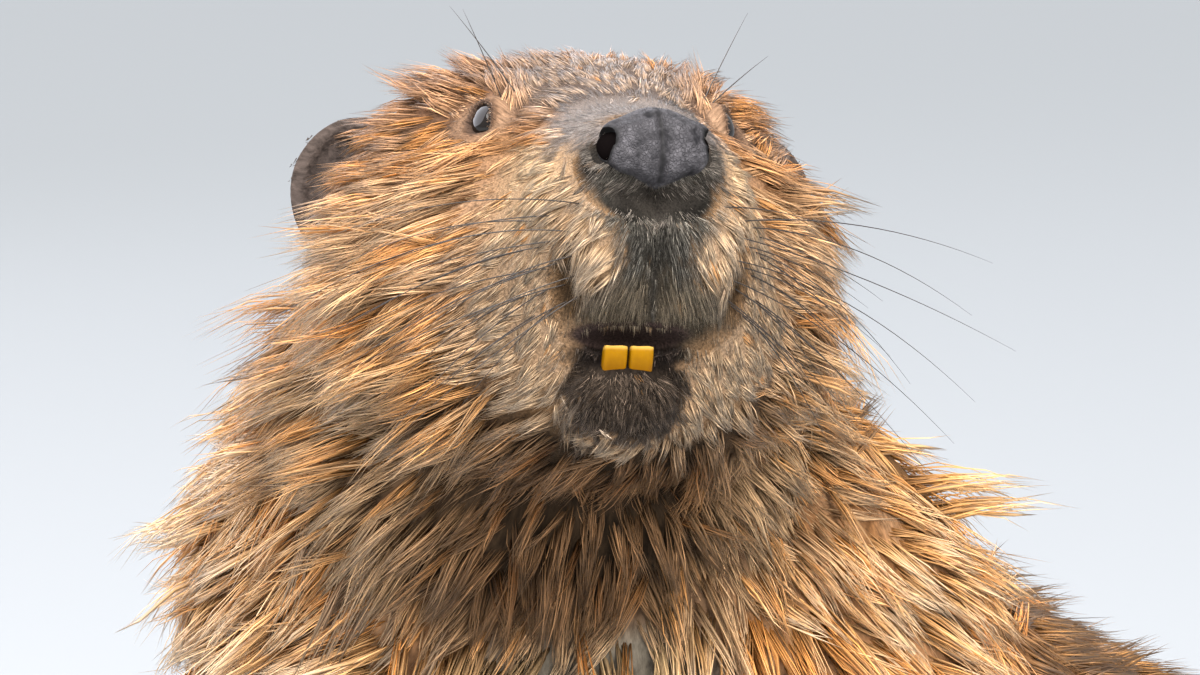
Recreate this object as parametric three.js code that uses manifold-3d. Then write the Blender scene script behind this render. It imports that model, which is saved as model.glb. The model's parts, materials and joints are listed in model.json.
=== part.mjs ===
// North American beaver, Castor canadensis: a life-size adult that sits on its haunches,
// with its forefeet down, its head raised and turned to its left, and its tail laid behind.
// Millimetres. +Z is up, the body faces -Y, +X is the animal's left and the floor is z = 0.
// Every size is that of the coat's outside, so the solids hold the hair as well as the flesh.

import * as THREE from "three";
import { mergeVertices } from "three/addons/utils/BufferGeometryUtils.js";
import Module from "manifold-3d";

const wasm = await Module();
wasm.setup();

// ---------------------------------------------------------------- driving dimensions

const gap = 0.35; // left between pieces that touch
const midLength = 135; // how far the middle of the whole length lies behind the working origin

// The head is laid out from the middle of its nose pad: forward, to its left, and up.
const noseAt = new THREE.Vector3(92, -286, 347);
const headTurn = 34.6; // degrees to its left
const headLift = 18; // degrees above level
const headRoll = 3; // degrees, left side down
const jawSwing = -5; // the lower jaw and its teeth stand a little to the right

const eye = { radius: 7.4, forward: -60, aside: 34.8, up: 19.8 };
const ear = {
  tall: 21, wide: 20, thick: 4.4, cup: 5,
  forward: -121, aside: 61, up: 16, lean: 22, turn: 24,
};
const nosePad = {
  wide: 17, top: 11, point: -11.5, side: -6.5, front: 9.5, back: -9,
  steps: 12, around: 10, power: 0.75, groove: 1.1,
};
const nostril = { forward: 4.5, aside: 15.6, up: 1.2, deep: 6.5, wide: 3.4, tall: 4.6, turn: 38 };
const mouth = { forward: -6, up: -53.2, deep: 18, wide: 19, tall: 3.4 };
const jawLine = { front: -56.5, slope: 7, back: -112, space: [200, 300, 120] }; // space holds the jaw
const incisor = { wide: 7.1, thick: 4.6, between: 0.7, edge: 0.55 }; // edge: share of thick at the tip
const incisorHeights = [-73, -67, -62, -57, -54.4];
const incisorLeans = [-31, -24, -19, -15.4, -14.6]; // the tooth's middle, forward, at each height

// The toes fan out from a root, which is as wide as root.wide: degrees, then millimetres.
const foreToes = {
  count: 5, spread: 62, heading: 4, root: { x: 65, y: -168, z: 7, wide: 30 },
  long: 27, short: 18, thick: 6.2, claw: 15, clawThick: 2.9,
};
const hindToes = {
  count: 5, spread: 46, heading: 6, root: { x: 113, y: 46, z: 9, wide: 34 },
  long: 84, short: 62, thick: 8.2, claw: 13, clawThick: 3.6,
};
const toeStart = 4; // each toe starts this far in front of the root
const web = { thick: 5, tip: 0.93, between: 0.82 }; // how far along the toes its edge lies

// Stations along the back, from inside the skull to the root of the tail.
const trunkLine = [
  { at: [47, -216, 304], wide: 56, up: 44, down: 56 },
  { at: [29, -187, 281], wide: 90, up: 62, down: 80 },
  { at: [9, -152, 248], wide: 107, up: 68, down: 92 },
  { at: [-4, -88, 192], wide: 135, up: 82, down: 112 },
  { at: [0, 15, 142], wide: 129, up: 78, down: 106 },
  { at: [0, 118, 108], wide: 133, up: 77, down: 100 },
  { at: [0, 202, 84], wide: 131, up: 73, down: 90 },
  { at: [0, 268, 60], wide: 98, up: 58, down: 66 },
  { at: [0, 312, 35], wide: 58, up: 34, down: 40 },
  { at: [0, 345, 16], wide: 38, up: 16, down: 18 },
];
const neckCut = { y: -118, z: 218, tilt: 50, size: 800 }; // the leaning cut that parts neck and trunk

// Head stations from the lips to the nape: top and low points [forward, up], half width, and
// how much narrower the section is towards the crown.
const headLine = [
  { top: [4, 2], low: [1, -27], wide: 17, crown: 0 },
  { top: [1, 10], low: [-3, -40], wide: 25, crown: 0 },
  { top: [-10, 15], low: [-8, -50], wide: 32, crown: 0.05 },
  { top: [-28, 23], low: [-20, -66], wide: 41, crown: 0.15 },
  { top: [-46, 34], low: [-34, -80], wide: 51, crown: 0.22 },
  { top: [-66, 44], low: [-58, -87], wide: 65, crown: 0.22 },
  { top: [-92, 51], low: [-88, -86], wide: 79, crown: 0.06 },
  { top: [-120, 46], low: [-116, -76], wide: 80, crown: 0 },
  { top: [-145, 28], low: [-142, -48], wide: 62, crown: 0 },
];
const headFront = [3, -13];
const headBack = [-160, -10];
const headSteps = 19;
const headAround = 24;
const headPower = 0.8; // below 1 the sections are fuller than ellipses

const foreleg = [
  { at: [80, -98, 190], wide: 36, up: 48, down: 52 },
  { at: [97, -90, 140], wide: 41, up: 52, down: 54 },
  { at: [92, -88, 92], wide: 34, up: 42, down: 44 },
  { at: [76, -114, 52], wide: 25, up: 26, down: 26 },
  { at: [68, -134, 24], wide: 20, up: 18, down: 18 },
];
const haunch = [
  { at: [70, 214, 78], wide: 42, up: 50, down: 50 },
  { at: [96, 160, 76], wide: 54, up: 62, down: 62 },
  { at: [108, 96, 70], wide: 52, up: 62, down: 58 },
  { at: [112, 42, 56], wide: 38, up: 44, down: 42 },
  { at: [112, 14, 46], wide: 24, up: 26, down: 26 },
];
const forePalm = [
  { at: [67, -124, 20], wide: 17, up: 15, down: 22 },
  { at: [66, -148, 15], wide: 22, up: 13, down: 17 },
  { at: [65, -172, 10], wide: 23, up: 9, down: 12 },
];
const hindSole = [
  { at: [104, 146, 15], wide: 17, up: 15, down: 17 },
  { at: [107, 104, 15], wide: 21, up: 14, down: 17 },
  { at: [111, 60, 13], wide: 26, up: 12, down: 15 },
  { at: [113, 30, 10], wide: 30, up: 9, down: 12 },
];
const paddle = [
  { at: [0, 300, 24], wide: 30, up: 15, down: 22 },
  { at: [0, 340, 14], wide: 44, up: 12, down: 16 },
  { at: [0, 400, 10], wide: 61, up: 9, down: 12 },
  { at: [0, 470, 8], wide: 65, up: 7.5, down: 10 },
  { at: [0, 530, 6.5], wide: 57, up: 6, down: 8.5 },
  { at: [0, 575, 5.5], wide: 36, up: 4.5, down: 7 },
];

// ---------------------------------------------------------------- finishes

const finish = (color, roughness) => new THREE.MeshStandardMaterial({ color, roughness, metalness: 0 });
const coat = finish(0xa9753f, 0.75);
const paleCoat = finish(0xc09a68, 0.75);
const darkCoat = finish(0x6b4a2c, 0.8);
const bareSkin = finish(0x3b3734, 0.6);
const leather = finish(0x3e3e42, 0.55);
const enamel = finish(0xdb8f14, 0.3);
const horn = finish(0x2c2622, 0.4);
const wetEye = finish(0x0c0a09, 0.08);

// ---------------------------------------------------------------- solids

/** Points and triangles as a solid, turned to face outwards. */
function solidOf(points, faces) {
  const volume = faces.reduce((sum, [a, b, c]) => {
    const corner = new THREE.Vector3().crossVectors(points[b], points[c]);
    return sum + corner.dot(points[a]);
  }, 0);
  const outward = volume > 0 ? faces : faces.map(([a, b, c]) => [a, c, b]);
  return new wasm.Manifold(
    new wasm.Mesh({
      numProp: 3,
      vertProperties: Float32Array.from(points.flatMap((p) => p.toArray())),
      triVerts: Uint32Array.from(outward.flat()),
    }),
  );
}

/** A three.js geometry as a solid. */
function solidFrom(geometry) {
  const bare = geometry.clone();
  bare.deleteAttribute("normal");
  bare.deleteAttribute("uv");
  const merged = mergeVertices(bare, 1e-4);
  const place = merged.getAttribute("position");
  const pointAt = (_, i) => new THREE.Vector3().fromBufferAttribute(place, i);
  const points = Array.from({ length: place.count }, pointAt);
  const index = merged.getIndex().array;
  const faces = [];
  for (let i = 0; i < index.length; i += 3) {
    faces.push([index[i], index[i + 1], index[i + 2]]);
  }
  return solidOf(points, faces);
}

/** A faceted ball with three radii, placed by a matrix. */
function ball(matrix, [x, y, z]) {
  const round = new THREE.IcosahedronGeometry(1, 1).scale(x, y, z);
  return solidFrom(round.applyMatrix4(matrix));
}

/** Rings of points, joined one to the next, with a point that closes each end. */
function skinOf(rings, first, last) {
  const around = rings[0].length;
  const points = [first, ...rings.flat(), last];
  const at = (ring, i) => 1 + ring * around + (i % around);
  const end = points.length - 1;
  const faces = [];
  for (let i = 0; i < around; i++) {
    faces.push([0, at(0, i), at(0, i + 1)]);
    faces.push([end, at(rings.length - 1, i + 1), at(rings.length - 1, i)]);
    for (let ring = 0; ring + 1 < rings.length; ring++) {
      faces.push([at(ring, i), at(ring + 1, i), at(ring + 1, i + 1)]);
      faces.push([at(ring, i), at(ring + 1, i + 1), at(ring, i + 1)]);
    }
  }
  return solidOf(points, faces);
}

/** A smooth curve through values given at even steps. */
function smooth(values) {
  return new THREE.CatmullRomCurve3(values.map((v) => new THREE.Vector3(...v)), false, "catmullrom", 0.5);
}

const bulge = (value, power) => Math.sign(value) * Math.abs(value) ** power;

/** How far a section has opened: 0 at the very end, 1 once past the rounded length. */
function rounding(t, start, end) {
  const from = Math.min(1, t / start);
  const to = Math.min(1, (1 - t) / end);
  return Math.sqrt(1 - (1 - from) ** 2) * Math.sqrt(1 - (1 - to) ** 2);
}

/** Oval sections carried along a line through the stations, with round ends. */
function limb(stations, { steps, around, upward, ends, power = 1, grow = 0 }) {
  const line = smooth(stations.map((s) => s.at));
  const sizes = smooth(stations.map((s) => [s.wide, s.up, s.down]));
  const reference = new THREE.Vector3(...upward);
  const rings = [];
  for (let step = 1; step < steps; step++) {
    const t = (1 - Math.cos((Math.PI * step) / steps)) / 2;
    const centre = line.getPoint(t);
    const along = line.getTangent(t);
    const up = reference.clone().addScaledVector(along, -reference.dot(along)).normalize();
    const aside = new THREE.Vector3().crossVectors(along, up);
    const size = sizes.getPoint(t).multiplyScalar(rounding(t, ...ends)).addScalar(grow);
    const ring = [];
    for (let i = 0; i < around; i++) {
      const turn = (2 * Math.PI * i) / around;
      const high = bulge(Math.sin(turn), power);
      const across = bulge(Math.cos(turn), power) * size.x;
      const lift = high * (high > 0 ? size.y : size.z);
      ring.push(centre.clone().addScaledVector(aside, across).addScaledVector(up, lift));
    }
    rings.push(ring);
  }
  const first = line.getPoint(0).addScaledVector(line.getTangent(0), -grow);
  const last = line.getPoint(1).addScaledVector(line.getTangent(1), grow);
  return skinOf(rings, first, last);
}

/** The largest piece of a solid, without the crumbs that a cut can leave. */
function mainPiece(solid) {
  return solid.decompose().reduce((best, piece) => (piece.volume() > best.volume() ? piece : best));
}

const slab = (size, matrix) => solidFrom(new THREE.BoxGeometry(...size).applyMatrix4(matrix));
const groundSize = [2000, 2000, 200]; // wider than the animal and deeper than any sole
const belowFloor = slab(groundSize, new THREE.Matrix4().makeTranslation(0, 0, -groundSize[2] / 2));
const onFloor = (solid) => solid.subtract(belowFloor);

/** The same stations on the animal's left, +1, or right, -1. */
function onSide(stations, side) {
  return stations.map((s) => ({ ...s, at: [side * s.at[0], s.at[1], s.at[2]] }));
}

// ---------------------------------------------------------------- head

const radians = THREE.MathUtils.degToRad;

/** The head's own axes as a matrix: x is forward, y to its left, z up, from the nose pad. */
function headMatrix() {
  const turn = radians(headTurn);
  const lift = radians(headLift);
  const forward = new THREE.Vector3(
    Math.sin(turn) * Math.cos(lift),
    -Math.cos(turn) * Math.cos(lift),
    Math.sin(lift),
  );
  const level = new THREE.Vector3(Math.cos(turn), Math.sin(turn), 0);
  const left = level.applyAxisAngle(forward, -radians(headRoll));
  const up = new THREE.Vector3().crossVectors(forward, left);
  return new THREE.Matrix4().makeBasis(forward, left, up).setPosition(noseAt);
}

const head = headMatrix();
const inHead = (forward, left, up) => new THREE.Vector3(forward, left, up).applyMatrix4(head);
const atHead = (forward, left, up) =>
  head.clone().multiply(new THREE.Matrix4().makeTranslation(forward, left, up));

/** The head from lips to nape, as leaning sections between its top and low profiles. */
function headSolid(grow = 0) {
  const tops = smooth([headFront, ...headLine.map((s) => s.top), headBack].map(([f, u]) => [f, u, 0]));
  const lows = smooth([headFront, ...headLine.map((s) => s.low), headBack].map(([f, u]) => [f, u, 0]));
  const shape = smooth([[0, 0, 0], ...headLine.map((s) => [s.wide, s.crown, 0]), [0, 0, 0]]);
  const rings = [];
  for (let step = 1; step < headSteps; step++) {
    const t = step / headSteps;
    const top = tops.getPoint(t);
    const low = lows.getPoint(t);
    const { x: wide, y: crown } = shape.getPoint(t);
    const middle = top.clone().add(low).multiplyScalar(0.5);
    const half = top.clone().sub(low).multiplyScalar(0.5);
    const longer = 1 + grow / half.length();
    const ring = [];
    for (let i = 0; i < headAround; i++) {
      const turn = (2 * Math.PI * i) / headAround;
      const high = bulge(Math.sin(turn), headPower);
      const narrow = 1 - crown * Math.max(0, high);
      const aside = bulge(Math.cos(turn), headPower) * (wide + grow) * narrow;
      ring.push(inHead(middle.x + half.x * high * longer, aside, middle.y + half.y * high * longer));
    }
    rings.push(ring);
  }
  const first = inHead(headFront[0] + grow, 0, headFront[1]);
  const last = inHead(headBack[0] - grow, 0, headBack[1]);
  return skinOf(rings, first, last);
}

/** The nose pad: upright sections from side to side, with a point below and a shallow groove. */
function noseSolid(grow = 0) {
  const rings = [];
  for (let step = 1; step < nosePad.steps; step++) {
    const across = -Math.cos((Math.PI * step) / nosePad.steps);
    const open = Math.sqrt(1 - across ** 2) ** 0.6;
    const low = nosePad.point + (nosePad.side - nosePad.point) * Math.abs(across);
    const groove = step * 2 === nosePad.steps ? nosePad.groove : 0;
    const middle = [(nosePad.front + nosePad.back) / 2, (nosePad.top + low) / 2];
    const reach = [(nosePad.front - nosePad.back) / 2 - groove, (nosePad.top - low) / 2];
    const ring = [];
    for (let i = 0; i < nosePad.around; i++) {
      const turn = (2 * Math.PI * i) / nosePad.around;
      const forward = middle[0] + bulge(Math.cos(turn), nosePad.power) * (reach[0] * open + grow);
      const up = middle[1] + bulge(Math.sin(turn), nosePad.power) * (reach[1] * open + grow);
      ring.push(inHead(forward, across * (nosePad.wide + grow), up));
    }
    rings.push(ring);
  }
  const side = nosePad.wide + grow;
  const centre = [(nosePad.front + nosePad.back) / 2, 0.5 * (nosePad.top + nosePad.side)];
  return skinOf(rings, inHead(centre[0], -side, centre[1]), inHead(centre[0], side, centre[1]));
}

function nostrilSolid(side) {
  const turned = atHead(nostril.forward, side * nostril.aside, nostril.up);
  turned.multiply(new THREE.Matrix4().makeRotationZ(side * radians(nostril.turn)));
  return ball(turned, [nostril.deep, nostril.wide, nostril.tall]);
}

const eyeSolid = (side, grow = 0) =>
  ball(atHead(eye.forward, side * eye.aside, eye.up), Array(3).fill(eye.radius + grow));

/** A cupped ear: a round leaf, thick in the middle, that faces forward and outward. */
function earSolid(side, grow = 0) {
  const place = atHead(ear.forward, side * ear.aside, ear.up)
    .multiply(new THREE.Matrix4().makeRotationZ(side * radians(ear.turn)))
    .multiply(new THREE.Matrix4().makeRotationX(side * radians(ear.lean)));
  const around = 14;
  const rows = 4;
  const leaf = (face) => {
    const rings = [];
    for (let row = rows - 1; row > 0; row--) {
      const reach = row / rows;
      const half = (ear.thick / 2 + grow) * Math.sqrt(1 - reach ** 4);
      const ring = [];
      for (let i = 0; i < around; i++) {
        const turn = (2 * Math.PI * i) / around;
        const aside = Math.cos(turn) * reach * (ear.wide + grow);
        const up = Math.sin(turn) * reach * (ear.tall + grow);
        const forward = ear.cup * (reach ** 2 - 0.5) + face * half;
        ring.push(new THREE.Vector3(forward, aside, up).applyMatrix4(place));
      }
      rings.push(ring);
    }
    return rings;
  };
  const rim = [];
  for (let i = 0; i < around; i++) {
    const turn = (2 * Math.PI * i) / around;
    const edge = [ear.cup * 0.5, Math.cos(turn) * (ear.wide + grow), Math.sin(turn) * (ear.tall + grow)];
    rim.push(new THREE.Vector3(...edge).applyMatrix4(place));
  }
  const middle = (face) => {
    const forward = -ear.cup * 0.5 + face * (ear.thick / 2 + grow);
    return new THREE.Vector3(forward, 0, 0).applyMatrix4(place);
  };
  return skinOf([...leaf(1).reverse(), rim, ...leaf(-1)], middle(1), middle(-1));
}

const mouthSolid = () =>
  ball(atHead(mouth.forward, jawSwing, mouth.up), [mouth.deep, mouth.wide, mouth.tall]);

/** One lower incisor, a curved chisel that rises out of the lip to a level edge. */
function incisorSolid(side, grow = 0) {
  const last = incisorHeights.length - 1;
  const inner = incisor.between / 2 - grow;
  const outer = incisor.between / 2 + incisor.wide + grow;
  const slantGrow = 2 * grow; // the tooth leans, so it needs more room along the level
  const rings = incisorHeights.map((height, i) => {
    const cutting = i === last ? incisor.edge : 1;
    const front = incisorLeans[i] + incisor.thick / 2 + slantGrow;
    const back = incisorLeans[i] + incisor.thick * (0.5 - cutting) - slantGrow;
    const up = height + grow * Math.sign(i - last / 2);
    const corners = [[front, inner], [front, outer], [back, outer], [back, inner]];
    return corners.map(([forward, aside]) => inHead(forward, side * aside + jawSwing, up));
  });
  const ends = [0, last].map((i) =>
    rings[i].reduce((sum, p) => sum.add(p), new THREE.Vector3()).multiplyScalar(1 / 4),
  );
  return skinOf(rings, ...ends);
}

/** The space below the line where the lower jaw parts from the head. */
function jawSpace(grow) {
  const [long, wide, tall] = jawLine.space;
  const matrix = atHead(jawLine.back, 0, jawLine.front)
    .multiply(new THREE.Matrix4().makeRotationY(-radians(jawLine.slope)))
    .multiply(new THREE.Matrix4().makeTranslation(long / 2, 0, -tall / 2));
  return slab([long + 2 * grow, wide + 2 * grow, tall + 2 * grow], matrix);
}

// ---------------------------------------------------------------- feet

/** Toes fanned out from a point: where each starts, points and ends. */
function toeFan(toes, side) {
  return Array.from({ length: toes.count }, (_, i) => {
    const share = i / (toes.count - 1) - 0.5; // -0.5 is the inner toe
    const turn = radians(toes.heading + share * toes.spread);
    const way = new THREE.Vector3(side * Math.sin(turn), -Math.cos(turn), 0);
    const long = toes.long - (toes.long - toes.short) * Math.abs(2 * share - 0.2) ** 1.6;
    const { x, y, z, wide } = toes.root;
    const start = new THREE.Vector3(side * (x + share * wide), y, z).addScaledVector(way, toeStart);
    return { way, start, long };
  });
}

const alongToe = (toe, far, up) => toe.start.clone().addScaledVector(toe.way, far).setZ(up).toArray();

/** One toe, a low tapered finger that lies along the floor. */
function toeSolid(toe, thick, grow = 0) {
  const stations = [
    { at: alongToe(toe, -8, thick), wide: thick, up: thick, down: thick },
    { at: alongToe(toe, toe.long * 0.55, thick * 0.9), wide: thick * 0.95, up: thick * 0.8, down: thick },
    { at: alongToe(toe, toe.long, thick * 0.6), wide: thick * 0.75, up: thick * 0.6, down: thick * 0.7 },
  ];
  return limb(stations, { steps: 5, around: 6, upward: [0, 0, 1], ends: [0.3, 0.2], grow });
}

/** One claw, a tapered hook from inside the toe's tip down to just above the floor. */
function clawSolid(toe, { thick, claw, clawThick }, grow = 0) {
  const root = toe.long - thick * 0.9;
  const middle = clawThick * 0.8;
  const tip = clawThick * 0.35;
  const stations = [
    { at: alongToe(toe, root, thick * 0.8), wide: clawThick, up: clawThick, down: clawThick * 0.8 },
    {
      at: alongToe(toe, root + claw * 0.55, thick * 0.85),
      wide: middle, up: middle, down: clawThick * 0.7,
    },
    { at: alongToe(toe, root + claw, thick * 0.35), wide: tip, up: tip, down: tip },
  ];
  return limb(stations, { steps: 4, around: 6, upward: [0, 0, 1], ends: [0.2, 0.25], grow });
}

/** The skin stretched between the toes of a hind foot: a thin fan with a scalloped edge. */
function webSolid(toes) {
  const edge = toes.flatMap((toe, i) => {
    const tip = toe.start.clone().addScaledVector(toe.way, toe.long * web.tip);
    if (i + 1 === toes.length) return [tip];
    const next = toes[i + 1];
    const far = Math.min(toe.long, next.long) * web.between;
    const between = toe.start.clone().addScaledVector(toe.way, far);
    between.add(next.start.clone().addScaledVector(next.way, far)).multiplyScalar(0.5);
    return [tip, between];
  });
  const outline = [toes[0].start, ...edge, toes[toes.length - 1].start];
  const sheet = new THREE.Shape(outline.map((p) => new THREE.Vector2(p.x, p.y)));
  return solidFrom(new THREE.ExtrudeGeometry(sheet, { depth: web.thick, bevelEnabled: false }));
}

/** A foot with its claws: the sole, the toes, and the web where it has one. */
function footSolids(sole, toes, side, webbed) {
  const fan = toeFan(toes, side);
  const soleShape = { steps: 7, around: 10, upward: [0, 0, 1], ends: [0.25, 0.25] };
  const bareFoot = (grow) =>
    fan.reduce(
      (sum, toe) => sum.add(toeSolid(toe, toes.thick, grow)),
      limb(onSide(sole, side), { ...soleShape, grow }),
    );
  let flesh = bareFoot(0);
  if (webbed) {
    flesh = flesh.add(webSolid(fan));
  }
  for (const toe of fan) {
    flesh = flesh.subtract(clawSolid(toe, toes, gap));
  }
  const claws = fan.map((toe) => onFloor(clawSolid(toe, toes)));
  return { flesh: mainPiece(onFloor(flesh)), claws, room: bareFoot(gap) };
}

// ---------------------------------------------------------------- the whole animal

const beaver = new THREE.Group();
beaver.position.y = -midLength;

/** Adds a solid as a named mesh of the animal. */
function addNode(name, solid, material) {
  const { vertProperties, triVerts } = solid.getMesh();
  const geometry = new THREE.BufferGeometry();
  geometry.setAttribute("position", new THREE.BufferAttribute(vertProperties, 3));
  geometry.setIndex(new THREE.BufferAttribute(triVerts, 1));
  geometry.computeVertexNormals();
  const mesh = new THREE.Mesh(geometry, material);
  mesh.name = name;
  beaver.add(mesh);
}

const sides = [["left", 1], ["right", -1]];
const trunkShape = { steps: 22, around: 24, upward: [0, 0, 1], power: 0.94, ends: [0.05, 0.05] };
const trunkSolid = (grow) => limb(trunkLine, { ...trunkShape, grow });
const paddleShape = { steps: 12, around: 12, upward: [0, 0, 1], power: 0.9, ends: [0.1, 0.16] };
const foreShape = { steps: 10, around: 12, upward: [0, -1, 0], ends: [0.3, 0.12] };
const haunchShape = { steps: 11, around: 14, upward: [0, 0, 1], ends: [0.25, 0.3] };

/** All in front of the neck's cut, moved back by shift. */
function neckSpace(shift) {
  const matrix = new THREE.Matrix4()
    .makeTranslation(0, neckCut.y, neckCut.z)
    .multiply(new THREE.Matrix4().makeRotationX(-radians(neckCut.tilt)))
    .multiply(new THREE.Matrix4().makeTranslation(0, shift - neckCut.size / 2, 0));
  return slab(Array(3).fill(neckCut.size), matrix);
}

function addHead() {
  const whole = headSolid();
  let flesh = whole.subtract(mouthSolid()).subtract(noseSolid(gap));
  for (const [, side] of sides) {
    flesh = flesh.subtract(eyeSolid(side, gap)).subtract(incisorSolid(side, gap));
  }
  addNode("head", mainPiece(flesh.subtract(jawSpace(gap))), coat);
  addNode("lower_jaw", mainPiece(flesh.intersect(jawSpace(0))), darkCoat);
  const openNose = noseSolid().subtract(nostrilSolid(1)).subtract(nostrilSolid(-1));
  addNode("nose", mainPiece(openNose), leather);
  for (const [name, side] of sides) {
    addNode(`eye_${name}`, eyeSolid(side), wetEye);
    addNode(`incisor_${name}`, incisorSolid(side), enamel);
    const openEar = earSolid(side).subtract(headSolid(gap)).subtract(trunkSolid(gap));
    addNode(`ear_${name}`, mainPiece(openEar), leather);
  }
}

function addBody() {
  const barrel = onFloor(trunkSolid(0));
  addNode("neck", mainPiece(barrel.intersect(neckSpace(0)).subtract(headSolid(gap))), paleCoat);
  addNode("trunk", mainPiece(barrel.subtract(neckSpace(gap)).subtract(headSolid(gap))), coat);
  const tail = onFloor(limb(paddle, paddleShape)).subtract(trunkSolid(gap));
  addNode("tail", mainPiece(tail), bareSkin);
}

function addLegs() {
  for (const [name, side] of sides) {
    const fore = footSolids(forePalm, foreToes, side, false);
    const hind = footSolids(hindSole, hindToes, side, true);
    const arm = limb(onSide(foreleg, side), foreShape).subtract(trunkSolid(gap)).subtract(fore.room);
    const thigh = limb(onSide(haunch, side), haunchShape).subtract(trunkSolid(gap)).subtract(hind.room);
    addNode(`foreleg_${name}`, mainPiece(onFloor(arm)), coat);
    addNode(`hind_leg_${name}`, mainPiece(onFloor(thigh)), coat);
    addNode(`forefoot_${name}`, fore.flesh, bareSkin);
    addNode(`hind_foot_${name}`, hind.flesh, bareSkin);
    fore.claws.forEach((claw, i) => addNode(`fore_claw_${name}_${i + 1}`, claw, horn));
    hind.claws.forEach((claw, i) => addNode(`hind_claw_${name}_${i + 1}`, claw, horn));
  }
}

addHead();
addBody();
addLegs();

export default beaver;
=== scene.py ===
# A wet North American beaver, life size, sitting with its head raised.
import json
import math

import bpy
import numpy as np
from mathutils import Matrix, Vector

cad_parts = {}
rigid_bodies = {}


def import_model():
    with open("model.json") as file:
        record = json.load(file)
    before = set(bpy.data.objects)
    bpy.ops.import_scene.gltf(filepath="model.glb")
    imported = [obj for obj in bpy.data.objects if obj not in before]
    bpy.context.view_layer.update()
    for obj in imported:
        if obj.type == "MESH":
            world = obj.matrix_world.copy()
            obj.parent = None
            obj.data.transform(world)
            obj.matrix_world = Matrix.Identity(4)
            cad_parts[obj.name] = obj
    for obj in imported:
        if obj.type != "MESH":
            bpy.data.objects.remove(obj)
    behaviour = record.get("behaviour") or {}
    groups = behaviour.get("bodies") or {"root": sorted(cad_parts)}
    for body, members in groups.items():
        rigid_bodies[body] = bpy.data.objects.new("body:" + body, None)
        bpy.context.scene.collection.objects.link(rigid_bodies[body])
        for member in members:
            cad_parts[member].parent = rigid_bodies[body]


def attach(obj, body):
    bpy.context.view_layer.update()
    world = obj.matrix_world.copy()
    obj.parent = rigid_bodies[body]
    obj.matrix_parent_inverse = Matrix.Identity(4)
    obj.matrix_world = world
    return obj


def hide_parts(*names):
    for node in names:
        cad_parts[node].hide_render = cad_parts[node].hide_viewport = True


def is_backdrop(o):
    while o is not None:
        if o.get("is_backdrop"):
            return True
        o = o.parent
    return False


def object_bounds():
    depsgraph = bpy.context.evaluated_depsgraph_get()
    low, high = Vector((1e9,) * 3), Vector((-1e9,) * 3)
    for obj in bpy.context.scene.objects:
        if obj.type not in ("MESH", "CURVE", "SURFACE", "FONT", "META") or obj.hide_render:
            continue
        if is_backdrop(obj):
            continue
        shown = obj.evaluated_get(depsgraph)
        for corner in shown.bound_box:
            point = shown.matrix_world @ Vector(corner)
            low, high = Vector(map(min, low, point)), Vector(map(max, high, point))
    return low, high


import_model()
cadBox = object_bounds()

# The shapes are worked out in millimetres, in the frame they were drawn in, and
# toFrame puts them where the solids are: y less midLength, then metres.
midLength = 135.0


def toFrame(points):
    # drawn millimetres to the solids' metres: y less midLength, all over a thousand
    return (np.asarray(points, float) - [0.0, midLength, 0.0]) * 0.001


def fromFrame(points):
    # the way back: times a thousand, y plus midLength
    return np.asarray(points, float) * 1000.0 + [0.0, midLength, 0.0]


# Small helpers on whole arrays.


def unit(v):
    # every vector divided by its length
    return v / np.maximum(np.linalg.norm(v, axis=-1, keepdims=True), 1e-9)


def dot(a, b):
    # the sum of the products along the last axis, kept as a column
    return (a * b).sum(-1, keepdims=True)


def ease(low, high, x):
    # 0 below low, 1 above high, 3x^2 - 2x^3 between
    x = np.clip((x - low) / (high - low), 0, 1)
    return x * x * (3 - 2 * x)


def mix(a, b, share):
    # a where the share is 0, b where it is 1, in proportion between
    return a + (b - a) * share


def bulge(x, power):
    # a sine or cosine raised to a power, keeping its sign
    return np.sign(x) * np.abs(x) ** power


def smoothLine(points, t):
    # Catmull-Rom: a cubic through the points at even steps, slope (next - last) / 2
    points = np.asarray(points, float)
    n = len(points) - 1
    s = np.clip(np.asarray(t, float), 0, 1) * n
    i = np.minimum(s.astype(int), n - 1)
    w = (s - i)[..., None]
    padded = np.vstack([2 * points[0] - points[1], points, 2 * points[-1] - points[-2]])
    p0, p1, p2, p3 = (padded[i + k] for k in range(4))
    v0, v1 = (p2 - p0) / 2, (p3 - p1) / 2
    return (2 * p1 - 2 * p2 + v0 + v1) * w**3 + (3 * p2 - 3 * p1 - 2 * v0 - v1) * w**2 + v0 * w + p1


def slopeOf(points, t):
    # unit tangent of smoothLine
    return unit(smoothLine(points, np.clip(t + 1e-4, 0, 1)) - smoothLine(points, np.clip(t - 1e-4, 0, 1)))


def ripple(p, size, seed, waves=7):
    # smooth noise from -1 to 1: the mean of sines that run in random directions
    own = np.random.default_rng(seed)
    ways = unit(own.normal(size=(waves, 3))) * own.uniform(0.6, 1.5, (waves, 1)) * (2 * math.pi / size)
    return np.sin(p @ ways.T + own.uniform(0, 2 * math.pi, waves)).mean(-1) * 1.8


# Meshes.


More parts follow.
